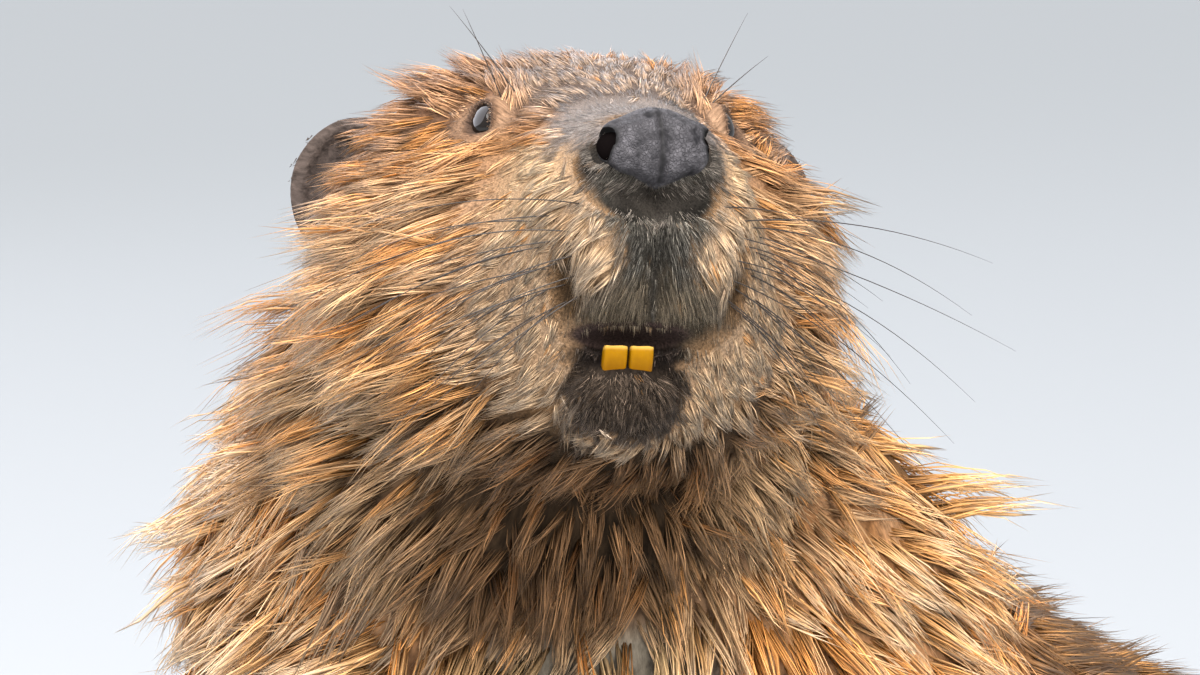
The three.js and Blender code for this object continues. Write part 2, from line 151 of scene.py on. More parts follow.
def newMesh(name, points, quads, tris):
    # arrays straight into a mesh; the faces are turned if the enclosed volume is negative
    quads = np.asarray(quads, np.int64).reshape(-1, 4)
    tris = np.asarray(tris, np.int64).reshape(-1, 3)
    fans = np.vstack([quads[:, [0, 1, 2]], quads[:, [0, 2, 3]], tris])
    a, b, c = (points[fans[:, k]] for k in range(3))
    if (a * np.cross(b, c)).sum() < 0:
        quads, tris = quads[:, ::-1], tris[:, ::-1]
    loops = np.concatenate([quads.ravel(), tris.ravel()]).astype(np.int32)
    totals = np.concatenate([np.full(len(quads), 4), np.full(len(tris), 3)]).astype(np.int32)
    starts = (np.cumsum(totals) - totals).astype(np.int32)
    mesh = bpy.data.meshes.new(name)
    mesh.vertices.add(len(points))
    mesh.vertices.foreach_set("co", toFrame(points).astype(np.float32).ravel())
    mesh.loops.add(len(loops))
    mesh.loops.foreach_set("vertex_index", loops)
    mesh.polygons.add(len(totals))
    mesh.polygons.foreach_set("loop_start", starts)
    mesh.polygons.foreach_set("loop_total", totals)
    mesh.polygons.foreach_set("use_smooth", np.ones(len(totals), bool))
    mesh.update(calc_edges=True)
    return mesh


def hueKept(colours, most):
    # colours whose strongest part is over "most" are scaled down whole, so their hue stays
    return colours / np.maximum(1, colours.max(-1, keepdims=True) / most)


def newPiece(name, mesh):
    # an object at the origin that carries the mesh
    mesh.name = name
    piece = bpy.data.objects.new(name, mesh)
    bpy.context.scene.collection.objects.link(piece)
    return piece


def gridQuads(rows, around):
    # the four-sided faces between each ring and the next
    i, j = np.arange(rows - 1)[:, None] * around, np.arange(around)
    k = (j + 1) % around
    return np.stack([i + j, i + k, i + around + k, i + around + j], -1)


def closedGrid(name, rings, first, last):
    # rings (rows, around, 3) joined in turn, with a fan of triangles to a point at each end
    rows, around = rings.shape[:2]
    points = np.vstack([rings.reshape(-1, 3), [first], [last]])
    j = np.arange(around)
    k = (j + 1) % around
    end = (rows - 1) * around
    top = np.stack([np.full(around, rows * around), k, j], -1)
    low = np.stack([np.full(around, rows * around + 1), end + j, end + k], -1)
    return newMesh(name, points, gridQuads(rows, around), np.vstack([top, low]))


def combine(first, others, operation="UNION"):
    # one boolean of a mesh with a list of meshes, as a new mesh
    scene = bpy.context.scene
    body = bpy.data.objects.new("body", first)
    scene.collection.objects.link(body)
    group = bpy.data.collections.new("group")
    scene.collection.children.link(group)
    for mesh in others:
        group.objects.link(bpy.data.objects.new("part", mesh))
    cut = body.modifiers.new("cut", "BOOLEAN")
    cut.operation, cut.solver, cut.operand_type, cut.collection = operation, "MANIFOLD", "COLLECTION", group
    result = bpy.data.meshes.new_from_object(body.evaluated_get(bpy.context.evaluated_depsgraph_get()))
    for item in [body, *group.objects]:
        old = item.data
        bpy.data.objects.remove(item)
        bpy.data.meshes.remove(old)
    bpy.data.collections.remove(group)
    return result


def pointsOf(mesh):
    # every vertex of a mesh, in drawn millimetres
    co = np.empty(len(mesh.vertices) * 3, np.float32)
    mesh.vertices.foreach_get("co", co)
    return fromFrame(co.reshape(-1, 3))


def setPoints(mesh, points):
    # moves every vertex to the place given
    mesh.vertices.foreach_set("co", toFrame(points).astype(np.float32).ravel())
    mesh.update()


def setColours(mesh, name, colours):
    # a colour for every vertex, stored under the name given
    layer = mesh.color_attributes.new(name, "FLOAT_COLOR", "POINT")
    values = np.hstack([colours, np.ones((len(colours), 1))])
    layer.data.foreach_set("color", values.astype(np.float32).ravel())


def trianglesOf(mesh):
    # the mesh's faces as triangles of vertex numbers
    mesh.calc_loop_triangles()
    tris = np.empty(len(mesh.loop_triangles) * 3, np.int32)
    mesh.loop_triangles.foreach_get("vertices", tris)
    return tris.reshape(-1, 3)


def roundedEnd(x):
    # a quarter circle that rises from 0 to 1, then stays level
    return np.sqrt(1 - (1 - np.minimum(1, x)) ** 2)


def ovalRings(shape, upward=(0, 0, 1)):
    # oval sections carried along the stations' line: centre + across * cos + up * sin,
    # each section shrinking to its end as a quarter circle does
    stations = np.asarray(shape["stations"], float)
    steps, around, power = shape["steps"], shape["around"], shape.get("power", 1.0)
    start, end = shape.get("ends", (0.15, 0.15))
    t = (1 - np.cos(math.pi * np.arange(1, steps) / steps)) / 2
    centre, along = smoothLine(stations[:, :3], t), slopeOf(stations[:, :3], t)
    reference = np.array(upward, float)
    up = unit(reference - along * (along @ reference)[:, None])
    aside = np.cross(along, up)
    opened = roundedEnd(t / start) * roundedEnd((1 - t) / end)
    depth = smoothLine(stations[:, 6:7], t)[:, 0] if stations.shape[1] > 6 else np.zeros(len(t))
    sizes = smoothLine(stations[:, 3:6], t) * opened[:, None]
    sizes = np.maximum(sizes - np.minimum(depth, 0.55 * sizes.min(1))[:, None], 0.3)
    turn = 2 * math.pi * np.arange(around) / around
    high, across = bulge(np.sin(turn), power), bulge(np.cos(turn), power)
    lift = np.where(high > 0, sizes[:, 1:2] * high, sizes[:, 2:3] * high)
    rings = centre[:, None] + aside[:, None] * (sizes[:, :1] * across)[..., None] \
        + up[:, None] * lift[..., None]
    return rings, smoothLine(stations[:, :3], np.array(0.0)), smoothLine(stations[:, :3], np.array(1.0))


def ovalGrid(name, shape, **more):
    # the closed surface over a line of oval sections
    return closedGrid(name, *ovalRings(shape, **more))


# The head's own axes: forward, to its left, up, from the middle of the nose pad.


headPose = {"noseAt": (92.0, -286.0, 347.0), "turn": 34.6, "lift": 18.0, "roll": 3.0}


def headAxes(pose):
    # forward from the turn and the lift; left is level, then rolled about forward
    turn, lift, roll = (math.radians(pose[k]) for k in ("turn", "lift", "roll"))
    forward = np.array([math.sin(turn) * math.cos(lift), -math.cos(turn) * math.cos(lift), math.sin(lift)])
    level = np.array([math.cos(turn), math.sin(turn), 0.0])
    left = level * math.cos(roll) - np.cross(forward, level) * math.sin(roll)
    return np.array([forward, left, np.cross(forward, left)])


headTurned = headAxes(headPose)
noseAt = np.array(headPose["noseAt"])


def fromHead(points):
    # head axes to drawn millimetres: the nose's place plus the turned vector
    return noseAt + np.asarray(points, float) @ headTurned


def toHead(points):
    # the way back: the vector from the nose, measured along the head's axes
    return (np.asarray(points, float) - noseAt) @ headTurned.T


def onSide(at, side):
    # a place or a push given for the left, or its mirror image where side is -1
    return np.array(at, float) * [1, side, 1]


def headGrid(name, rings, first, last):
    # a closed grid whose points are given in the head's axes
    return closedGrid(name, fromHead(rings), fromHead(first), fromHead(last))


def headTube(name, rings):
    # a grid whose ends close on the middles of its first and last rings
    return headGrid(name, rings, rings[0].mean(0), rings[-1].mean(0))


# Skin: nose to tail root, legs and feet, joined by booleans and softened at the creases.


# each station: top forward and up, low forward and up, half width, narrowing at the crown, coat depth
headShape = {
    "stations": [
        (3, -13, 3, -13, 0, 0, 2),
        (4, 2, 1, -27, 17, 0, 2),
        (1, 10, -3, -40, 25, 0, 2),
        (-10, 15, -8, -50, 32, 0.05, 2.2),
        (-28, 23, -20, -66, 41, 0.15, 2.6),
        (-46, 34, -34, -80, 51, 0.22, 3.6),
        (-66, 44, -58, -87, 65, 0.22, 5),
        (-92, 51, -88, -86, 79, 0.06, 7),
        (-120, 46, -116, -76, 80, 0, 8),
        (-145, 28, -142, -48, 62, 0, 8),
        (-160, -10, -160, -10, 0, 0, 8),
    ],
    "steps": 190,
    "around": 200,
    "power": 0.8,
}

# each station: x, y, z, half width, reach up, reach down, coat depth
trunkShape = {
    "stations": [
        (47, -216, 304, 56, 44, 56, 10),
        (29, -187, 281, 86, 62, 80, 12),
        (9, -152, 248, 102, 68, 92, 14),
        (-4, -88, 192, 135, 82, 112, 14),
        (0, 15, 142, 129, 78, 106, 13),
        (0, 118, 108, 133, 77, 100, 12),
        (0, 202, 84, 131, 73, 90, 12),
        (0, 268, 60, 98, 58, 66, 11),
        (0, 312, 35, 58, 34, 40, 8),
        (0, 345, 16, 38, 16, 18, 2),
    ],
    "steps": 170,
    "around": 150,
    "power": 0.94,
    "ends": (0.05, 0.05),
}

foreleg = {
    "stations": [
        (80, -98, 190, 36, 48, 52, 7),
        (97, -90, 140, 41, 52, 54, 7),
        (92, -88, 92, 34, 42, 44, 6),
        (76, -114, 52, 25, 26, 26, 4),
        (68, -134, 24, 20, 18, 18, 2),
    ],
    "steps": 60, "around": 56, "ends": (0.3, 0.12),
}
haunch = {
    "stations": [
        (70, 214, 78, 42, 50, 50, 9),
        (96, 160, 76, 54, 62, 62, 9),
        (108, 96, 70, 52, 62, 58, 9),
        (112, 42, 56, 38, 44, 42, 7),
        (112, 14, 46, 24, 26, 26, 5),
    ],
    "steps": 64, "around": 72, "ends": (0.25, 0.3),
}
foreSole = {
    "stations": [(67, -124, 20, 17, 15, 22, 0), (66, -148, 15, 22, 13, 17, 0), (65, -172, 10, 23, 9, 12, 0)],
    "steps": 36, "around": 44, "ends": (0.25, 0.25),
}
hindSole = {
    "stations": [(104, 146, 15, 17, 15, 17, 0), (107, 104, 15, 21, 14, 17, 0),
                 (111, 60, 13, 26, 12, 15, 0), (113, 30, 10, 30, 9, 12, 0)],
    "steps": 40, "around": 48, "ends": (0.25, 0.25),
}
foreToes = {"count": 5, "spread": 62, "long": 27, "short": 18, "thick": 6.2, "claw": 15, "clawThick": 2.9,
            "root": (65, -168, 7, 30), "heading": 4, "web": 0}
hindToes = {"count": 5, "spread": 46, "long": 84, "short": 62, "thick": 8.2, "claw": 13, "clawThick": 3.6,
            "root": (113, 46, 9, 34), "heading": 6, "web": 5}

face = {
    "jawSwing": -6.0,
    "mouthAt": (-4.0, -54.4), "mouthSize": (17.0, 21.0, 4.4),
    "lipAt": (-30.5, -69.0), "lipSize": (17.5, 16.0, 14.5),
}
eye = {"at": (-60.1, 32.4, 20.4), "radius": 7.4, "faces": (0.44, 0.86, 0.22), "lid": 1.35,
       "long": 4.9, "tall": 5.0, "corner": 0.28}
nose = {"wide": 16.6, "top": 12.4, "point": -11.4, "side": -6.4, "front": 9.8, "back": -10, "groove": 1.9,
        "nostril": (1.6, 16.5, 1.6), "nostrilSize": (6.4, 4.4, 5.2), "nostrilTurn": -28, "nostrilBend": 0.03}
earShape = {"tall": 22.5, "wide": 19.5, "thick": 3.4, "cup": 6,
            "at": (-121, 61.5, 14.5), "lean": 22, "turn": 24}


def pressed(p, centre, size, by):
    # a soft push: by * exp(-(distance / size)^2), distance along the head's axes
    away = (((p - centre) / size) ** 2).sum(-1, keepdims=True)
    return p + np.array(by) * np.exp(-away)


def pushedOnSides(p, pushes):
    # every push on the left, then every push mirrored on the right
    for side in (1, -1):
        for centre, size, by in pushes:
            p = pressed(p, onSide(centre, side), size, onSide(by, side))
    return p


# each push on the face: where, how wide and which way, in the head's axes: lip, forehead, under the nose
middlePushes = [
    ((2, 0, -49), (9, 4.5, 6), (-0.6, 0, 2.6)),
    ((-86, 0, 48), (38, 34, 18), (0, 0, 4.0)),
    ((3, 0, -15), (14, 16, 5.0), (-6.5, 0, 0)),
]
# beside the nose, the brow ridge, the whisker pad and its crease, the cheek's hollow,
# over, behind and before the eye, and the cheek
sidePushes = [
    ((2, 22, -1), (14, 8.5, 12), (-7.5, 0, 0)),
    ((-96, 42, 40), (32, 22, 18), (0, 0.8, 3.0)),
    ((-4, 15, -33), (16, 9.5, 14), (3.6, 1.8, -1.2)),
    ((-12, 25, -33), (8, 4, 13), (-1.6, -2.2, 0)),
    ((-34, 38, -8), (16, 14, 20), (-1, -3.0, 0)),
    ((-58, 34, 32), (16, 10, 9), (0.4, 2.2, 2.0)),
    ((-64, 42, 14), (14, 10, 12), (0.4, 1.8, 0.6)),
    ((-44, 31, 18), (8, 10, 10), (-0.4, -2.0, -0.6)),
    ((-84, 62, -2), (20, 16, 16), (0, 2.5, 0)),
]


def sculptFace(p):
    # pushes that turn the plain head into a beaver's: pads, groove, sockets, brow and cheek
    s, t = p[..., 1:2], p[..., 2:3]
    groove = np.exp(-(s / 3.2) ** 2) * ease(-50, -40, t) * (1 - ease(-15, -8, t)) * (p[..., :1] > -25)
    p = p + np.array([-4.0, 0, 0]) * groove
    for centre, size, by in middlePushes:
        p = pressed(p, centre, size, by)
    return pushedOnSides(p, sidePushes)


def headRings(shape):
    # leaning sections between the top and the low profile: middle + half * sin, width * cos
    stations = np.asarray(shape["stations"], float)
    t = np.arange(1, shape["steps"]) / shape["steps"]
    along = smoothLine(stations, t)
    top, low, wide, crown, coat = along[:, 0:2], along[:, 2:4], along[:, 4], along[:, 5], along[:, 6]
    middle, half = (top + low) / 2, (top - low) / 2
    spread = -np.minimum(coat, 0.5 * wide)
    half = half * np.maximum(0.05, 1 + spread / np.linalg.norm(half, axis=1))[:, None]
    wide = np.maximum(wide + spread, 0.2)
    turn = 2 * math.pi * np.arange(shape["around"]) / shape["around"]
    high, across = bulge(np.sin(turn), shape["power"]), bulge(np.cos(turn), shape["power"])
    narrow = 1 - crown[:, None] * np.maximum(0, high)
    aside = across * wide[:, None] * narrow
    rings = np.stack([middle[:, :1] + half[:, :1] * high, aside, middle[:, 1:] + half[:, 1:] * high], -1)
    first = np.array([stations[0, 0] - 2.0, 0, stations[0, 1]])
    last = np.array([stations[-1, 0] + 8.0, 0, stations[-1, 1]])
    return rings, first, last


def ballRings(centre, size, steps=40, around=56, square=1.0):
    # an ellipsoid between two poles on its third axis; "square" below 1 squares its level sections
    up = math.pi * np.arange(1, steps) / steps
    turn = 2 * math.pi * np.arange(around) / around
    ring = np.sin(up)[:, None]
    rings = np.stack([ring * bulge(np.cos(turn), square) * size[0],
                      ring * bulge(np.sin(turn), square) * size[1],
                      np.cos(up)[:, None] * size[2] * np.ones(around)], -1) + centre
    return rings, np.array(centre) + [0, 0, size[2]], np.array(centre) - [0, 0, size[2]]


def headBall(name, centre, size, **more):
    # an ellipsoid in the head's axes
    rings, first, last = ballRings(np.array(centre, float), size, **more)
    return headGrid(name, rings, first, last)


def eyeAxes(side):
    # the eye's own axes: out of the head, forward along the lids, and up
    out = unit(onSide(eye["faces"], side))
    up = unit(np.array([0.0, 0, 1]) - out * out[2])
    along = unit(np.cross(up, out)) * side
    return out, along, up


def openingRing(side, turn, scale, height):
    # an almond round the eye's axis, with its corner low and to the back
    out, along, up = eyeAxes(side)
    point = 1 + eye["corner"] * np.exp(-((turn - 1.25 * math.pi) / 0.42) ** 2)
    across, tall = eye["long"] * np.cos(turn) * point * scale, eye["tall"] * np.sin(turn) * point * scale
    at = onSide(eye["at"], side)
    return at + across[..., None] * along + tall[..., None] * up + (height + 0 * across)[..., None] * out


def openingMesh(side):
    # what is cut away between the lids: the almond, wider the further out it is
    height = np.array([3.0, 5.0, 6.4, 7.3, 8.0, 8.7, 9.6, 11.5])[:, None]
    scale = np.array([0.55, 0.9, 1.0, 1.03, 1.12, 1.3, 1.55, 1.9])[:, None]
    turn = (2 * math.pi * np.arange(80) / 80)[None]
    rings = openingRing(side, turn, scale, height)
    return headTube("opening", rings)


def turnUpright(a):
    # a turn by a radians about the upright axis, for points in rows
    return np.array([[math.cos(a), math.sin(a), 0], [-math.sin(a), math.cos(a), 0], [0, 0, 1]])


def turnAhead(a):
    # the same about the forward axis
    return np.array([[1, 0, 0], [0, math.cos(a), math.sin(a)], [0, -math.sin(a), math.cos(a)]])


def nostrilTurn(side, c):
    # from the nostril's own axes to the head's
    return turnUpright(side * math.radians(c["nostrilTurn"]))


def nostrilMesh(side, c, grow=0.0, deeper=0.0):
    # an ellipsoid bent upwards at both ends, where the nostril is hollow
    rings, first, last = ballRings(np.zeros(3), np.array(c["nostrilSize"]) + grow, 36, 44)
    at, spin = onSide(c["nostril"], side), nostrilTurn(side, c)
    at = at - side * deeper * spin[1]

    def place(q):
        bent = q + np.stack([0 * q[..., 0], 0 * q[..., 0], c["nostrilBend"] * q[..., 0] ** 2 - 1], -1)
        return fromHead(at + bent @ spin)

    return closedGrid("nostril", place(rings), place(first), place(last))


def earRings(side):
    # a cupped leaf: two faces from the middle to a round rim, forward = cup * (reach^2 - 1/2)
    e = earShape
    lean, turned = turnAhead(side * math.radians(e["lean"])), turnUpright(side * math.radians(e["turn"]))
    turn = 2 * math.pi * np.arange(64) / 64
    sweep = np.linspace(0, math.pi, 43)[1:-1]
    reach, face_ = np.sin(sweep)[:, None] ** 0.7, np.cos(sweep)[:, None]
    edge = 1 + 0.035 * np.sin(3 * turn + 0.6)
    half = (e["thick"] / 2) * np.sign(face_) * np.abs(face_) ** 0.6
    fold = 1.3 * np.exp(-((reach - 0.8) / 0.09) ** 2) * (face_ > 0)
    forward = e["cup"] * (reach**2 - 0.5) + half + fold + 0 * turn
    local = np.stack([forward, reach * np.cos(turn) * e["wide"] * edge,
                      reach * np.sin(turn) * e["tall"] * edge], -1)
    place = lambda p: onSide(e["at"], side) + p @ lean @ turned
    ends = [place(np.array([-e["cup"] / 2 + k * e["thick"] / 2, 0, 0])) for k in (1, -1)]
    return place(local), ends[0], ends[1]


def toeFan(toes, side):
    # where each toe starts, points and ends, fanned out from the root
    share = np.arange(toes["count"]) / (toes["count"] - 1) - 0.5
    turn = np.radians(toes["heading"] + share * toes["spread"])
    way = np.stack([side * np.sin(turn), -np.cos(turn), 0 * turn], -1)
    long = toes["long"] - (toes["long"] - toes["short"]) * np.abs(2 * share - 0.2) ** 1.6
    x, y, z, width = toes["root"]
    start = np.array([side * x, y, z]) + way * 4 + np.stack([side * share * width, 0 * share, 0 * share], -1)
    return [(start[i], way[i], long[i]) for i in range(toes["count"])]


def alongToe(toe, far, up):
    # the place so far along a toe, at the height given
    start, way, _ = toe
    p = start + way * far
    return (p[0], p[1], up)


def toeMesh(toe, thick):
    # a finger with two knuckles, along the floor
    long = toe[2]
    at = [(-8, 1.0, 1.0, 1.0), (long * 0.3, 0.95, 0.86, 0.8), (long * 0.55, 0.93, 0.98, 0.86),
          (long * 0.8, 0.8, 0.8, 0.66), (long, 0.62, 0.76, 0.6)]
    stations = [(*alongToe(toe, far, thick * up), thick * wide, thick * high, thick, 0)
                for far, up, wide, high in at]
    return ovalGrid("toe", {"stations": stations, "steps": 30, "around": 24, "ends": (0.25, 0.18)})


def webMesh(fan, thick):
    # the skin between toes: strips from toe to toe, thin, sagging back at the edge between them
    starts = np.array([toe[0] for toe in fan])
    ways = np.array([toe[1] for toe in fan])
    longs = np.array([toe[2] for toe in fan])
    across = np.linspace(0, len(fan) - 1, 61)
    i = np.minimum(across.astype(int), len(fan) - 2)
    w = (across - i)[:, None]
    start, way = mix(starts[i], starts[i + 1], w), mix(ways[i], ways[i + 1], w)
    reach = mix(longs[i], longs[i + 1], w[:, 0]) * (0.93 - 0.16 * np.sin(math.pi * w[:, 0]) ** 0.8)
    far = np.linspace(0, 1, 40)
    top = start[:, None] + way[:, None] * (reach[:, None] * far)[..., None]
    low = top.copy()
    thin = thick * (1 - 0.45 * far) * (1 - 0.28 * np.sin(math.pi * w))
    top[..., 2] = thin + 0.6
    low[..., 2] = -1.0
    loop = np.concatenate([top, low[:, ::-1]], 1)
    return closedGrid("web", loop, loop[0].mean(0), loop[-1].mean(0))


def footMeshes(sole, toes, side):
    # a sole, its toes, and the web between them where there is one
    fan = toeFan(toes, side)
    parts = [ovalGrid("sole", mirrored(sole, side))] + [toeMesh(toe, toes["thick"]) for toe in fan]
    if toes["web"]:
        parts.append(webMesh(fan, toes["web"]))
    return parts


def mirrored(shape, side):
    # the same stations with x turned to the side given
    return {**shape, "stations": [(side * s[0], *s[1:]) for s in shape["stations"]]}


def floorBlock():
    # a box whose top is the floor
    x, y, z = np.meshgrid([-900.0, 900.0], [-900.0, 900.0], [-200.0, 0.0], indexing="ij")
    corners = np.stack([x.ravel(), y.ravel(), z.ravel()], -1)
    quads = [(0, 1, 3, 2), (4, 6, 7, 5), (0, 4, 5, 1), (2, 3, 7, 6), (0, 2, 6, 4), (1, 5, 7, 3)]
    return newMesh("floorBlock", corners, quads, np.empty((0, 3)))


def faceCross(points, tris):
    # two sides of every triangle crossed: its normal, as long as twice its area
    return np.cross(points[tris[:, 1]] - points[tris[:, 0]], points[tris[:, 2]] - points[tris[:, 0]])


def sumAtPoints(values, tris, count):
    # for every point, the sum of the values of the triangles that meet there
    return np.stack([np.bincount(tris.ravel(), np.repeat(values[:, k], 3), count) for k in range(3)], -1)


def edgePairs(mesh):
    # the two vertex numbers of every edge
    pairs = np.empty(len(mesh.edges) * 2, np.int32)
    mesh.edges.foreach_get("vertices", pairs)
    return pairs.reshape(-1, 2)


def relax(points, pairs, share, rounds):
    # each point moves its share of the way to the mean of its neighbours
    count = len(points)
    a, b = pairs[:, 0], pairs[:, 1]
    degree = np.maximum(np.bincount(a, minlength=count) + np.bincount(b, minlength=count), 1)
    for _ in range(rounds):
        mean = np.stack([
            np.bincount(a, points[b, k], count) + np.bincount(b, points[a, k], count) for k in range(3)
        ], -1) / degree[:, None]
        points = points + (mean - points) * share[:, None]
    return points


# where skin is softened: how sharp a crease counts, how far the softening spreads and in how many
# rounds, and how much of it reaches the fine parts of the face and the feet
creases = {"sharp": 0.06, "spread": 7, "fading": 0.86, "rounds": 26, "face": 0.16, "feet": 0.22, "share": 0.8}


def blendCreases(mesh, c):
    # finds edges where two surfaces meet in a valley and softens the skin round them
    points, pairs, tris = pointsOf(mesh), edgePairs(mesh), trianglesOf(mesh)
    total = sumAtPoints(unit(faceCross(points, tris)), tris, len(points))
    count = np.maximum(np.bincount(tris.ravel(), minlength=len(points)), 1)[:, None]
    sharp = 1 - np.linalg.norm(total / count, axis=1)  # 0 where all faces round a point agree
    mark = (sharp > c["sharp"]).astype(float)
    for _ in range(c["spread"]):
        a, b = pairs[:, 0], pairs[:, 1]
        wider = mark.copy()
        np.maximum.at(wider, a, mark[b] * c["fading"])
        np.maximum.at(wider, b, mark[a] * c["fading"])
        mark = wider
    local = toHead(points)
    fine = (local[:, 0] > -75) & (np.abs(local[:, 2]) < 95) & (np.abs(local[:, 1]) < 62)
    feet = (points[:, 2] < 30) & (points[:, 1] < 150) & (np.abs(points[:, 0]) > 30)
    mark = mark * np.where(fine, c["face"], 1.0) * np.where(feet, c["feet"], 1.0) * (points[:, 2] > 0.05)
    setPoints(mesh, relax(points, pairs, mark * c["share"], c["rounds"]))


def buildSkin():
    # head with lids and lip, less mouth, eye openings and nostrils, joined to trunk, ears, legs and feet
    rings, first, last = headRings(headShape)
    head = headGrid("headSkin", sculptFace(rings), sculptFace(first), last)
    swing = face["jawSwing"]
    lids = [headBall("lid", onSide(eye["at"], side), [eye["radius"] + eye["lid"]] * 3) for side in (1, -1)]
    lip = headBall("lip", (face["lipAt"][0], swing, face["lipAt"][1]), face["lipSize"], square=0.72)
    head = combine(head, lids)
    mouthAt = (face["mouthAt"][0], swing, face["mouthAt"][1])
    head = combine(head, [headBall("mouth", mouthAt, face["mouthSize"])], "DIFFERENCE")
    head = combine(head, [lip])
    cutters = [openingMesh(side) for side in (1, -1)] + [nostrilMesh(side, nose, 0.5) for side in (1, -1)]
    head = combine(head, cutters, "DIFFERENCE")
    parts = [ovalGrid("trunkSkin", trunkShape)]
    for side in (1, -1):
        parts.append(headGrid("earSkin", *earRings(side)))
        parts.append(ovalGrid("armSkin", mirrored(foreleg, side), upward=(0, -1, 0)))
        parts.append(ovalGrid("haunchSkin", mirrored(haunch, side)))
        parts += footMeshes(foreSole, foreToes, side) + footMeshes(hindSole, hindToes, side)
    whole = combine(head, parts)
    whole = combine(whole, [floorBlock()], "DIFFERENCE")
    blendCreases(whole, creases)
    return whole


skinMesh = buildSkin()
print("skin:", len(skinMesh.vertices), "points,", len(trianglesOf(skinMesh)), "triangles")
skin = newPiece("skin", skinMesh)
skinMesh.polygons.foreach_set("use_smooth", np.ones(len(skinMesh.polygons), bool))
sides = (("left", 1), ("right", -1))
fleshNodes = ["head", "lower_jaw", "neck", "trunk"] + [
    f"{part}_{name}" for name, _ in sides for part in ("ear", "foreleg", "forefoot", "hind_leg", "hind_foot")]
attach(skin, "root")
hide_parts(*fleshNodes)


# Markings: what the skin and the coat are like at every place.


def tone(red, green, blue):
    # a colour given as it looks, 0 to 255, turned to the light it stands for
    c = np.array([red, green, blue]) / 255
    return np.where(c <= 0.04045, c / 12.92, ((c + 0.055) / 1.055) ** 2.4)


# Each zone: the underfur and the tips, how long the coat is, how far apart its locks stand,
# how far they lift, and how much of the coat is rusty.
zoneTable = {
    "back": ((76, 48, 26), (230, 172, 116), 38, 7.2, 0.34, 0.36),
    "belly": ((80, 60, 42), (196, 160, 118), 30, 8.5, 0.30, 0.15),
    "rump": ((66, 47, 31), (190, 138, 88), 26, 6.8, 0.28, 0.36),
    "neck": ((112, 68, 26), (255, 224, 188), 50, 4.2, 0.33, 0.4),
    "nape": ((84, 54, 28), (230, 186, 130), 44, 5.2, 0.33, 0.45),
    "chest": ((17, 11, 6), (255, 238, 212), 46, 4.3, 0.26, 0.12),
    "leg": ((60, 44, 30), (166, 120, 78), 18, 5.6, 0.24, 0.3),
    "foot": ((56, 47, 42), (104, 86, 72), 5.5, 6.5, 0.14, 0),
    "crown": ((78, 50, 32), (184, 147, 120), 26, 3.0, 0.46, 0.34),
    "temple": ((36, 20, 10), (184, 150, 124), 33, 3.1, 0.23, 0.48),
    "cheek": ((88, 48, 16), (226, 194, 160), 43, 3.2, 0.22, 0.42),
    "jowl": ((54, 30, 10), (208, 180, 148), 42, 3.4, 0.24, 0.34),
    # the throat: its own darker fur, with painted shade under the overhanging chin
    "throat": ((12, 8, 4), (132, 104, 78), 36, 3.6, 0.22, 0.03),
    "muzzle": ((104, 76, 48), (188, 170, 150), 11.5, 1.9, 0.2, 0.1),
    "flank": ((126, 92, 58), (220, 198, 170), 12, 1.9, 0.18, 0.12),
    "brow": ((66, 53, 45), (170, 155, 146), 12.5, 1.9, 0.16, 0.1),
    "bridge": ((60, 52, 48), (210, 198, 192), 5.4, 1.45, 0.2, 0.03),
    "orbit": ((96, 70, 52), (212, 178, 148), 9, 1.7, 0.15, 0.12),
    "eyelid": ((56, 44, 38), (116, 94, 80), 3.2, 1.7, 0.1, 0),
    "groove": ((7, 6, 5), (112, 107, 99), 6.8, 2.0, 0.22, 0),
    # painted shade: darker fur along the whisker pad's crease
    "crease": ((30, 21, 13), (136, 104, 70), 9, 2.0, 0.2, 0.05),
    # painted shade: near-black fur under the nose pad and beside it, where the pad overhangs
    "shadeUnderPad": ((9, 8, 7), (140, 131, 122), 6.0, 1.5, 0.3, 0),
    # painted shade: a dark line down the middle cleft of the upper lip
    "cleft": ((7, 6, 5), (110, 104, 96), 6, 2.0, 0.2, 0),
    "lip": ((11, 9, 7), (156, 140, 118), 9.5, 2.3, 0.22, 0.02),
    "chin": ((7, 5, 4), (98, 84, 72), 6.5, 2.0, 0.36, 0),
    "ear": ((62, 54, 51), (104, 92, 84), 2.0, 3.2, 0.02, 0),
    "rim": ((10, 7, 6), (70, 60, 54), 3.5, 2.2, 0.3, 0),
    "fringe": ((60, 42, 28), (186, 150, 112), 4.5, 1.6, 0.34, 0),
    "mouth": ((38, 30, 28), (60, 48, 44), 2.0, 60, 0.1, 0),
    # painted shade: hairless skin in the nostril hollows, near black for the shade inside them
    "bare": ((12, 9, 8), (30, 24, 20), 2.0, 60, 0.1, 0),
}
zones = {name: {"under": tone(*row[0]), "tip": tone(*row[1]), "long": row[2], "gap": row[3],
                "lift": row[4], "rust": row[5]} for name, row in zoneTable.items()}


def near(h, centre, size, soft=0.35):
    # 1 inside an ellipsoid of the head's axes, 0 outside, easing over the share "soft"
    return 1 - ease(1 - soft, 1 + soft, np.sqrt((((h - centre) / size) ** 2).sum(-1)))


def nearBoth(h, centre, size, soft):
    # the stronger of near() at a place on the left and at its mirror image
    return np.maximum(*(near(h, onSide(centre, k), size, soft) for k in (1, -1)))


def fromSkullAxis(h):
    # how far from the head's long axis, where 1 is about its surface
    return np.hypot(h[:, 1] / 84, (h[:, 2] + 18) / 76)


faceMiddle = (-8, 0, -14)  # inside the muzzle, in the head's axes


def fromFace(h):
    # the distance from the middle of the muzzle
    return np.linalg.norm(h - faceMiddle, axis=1)


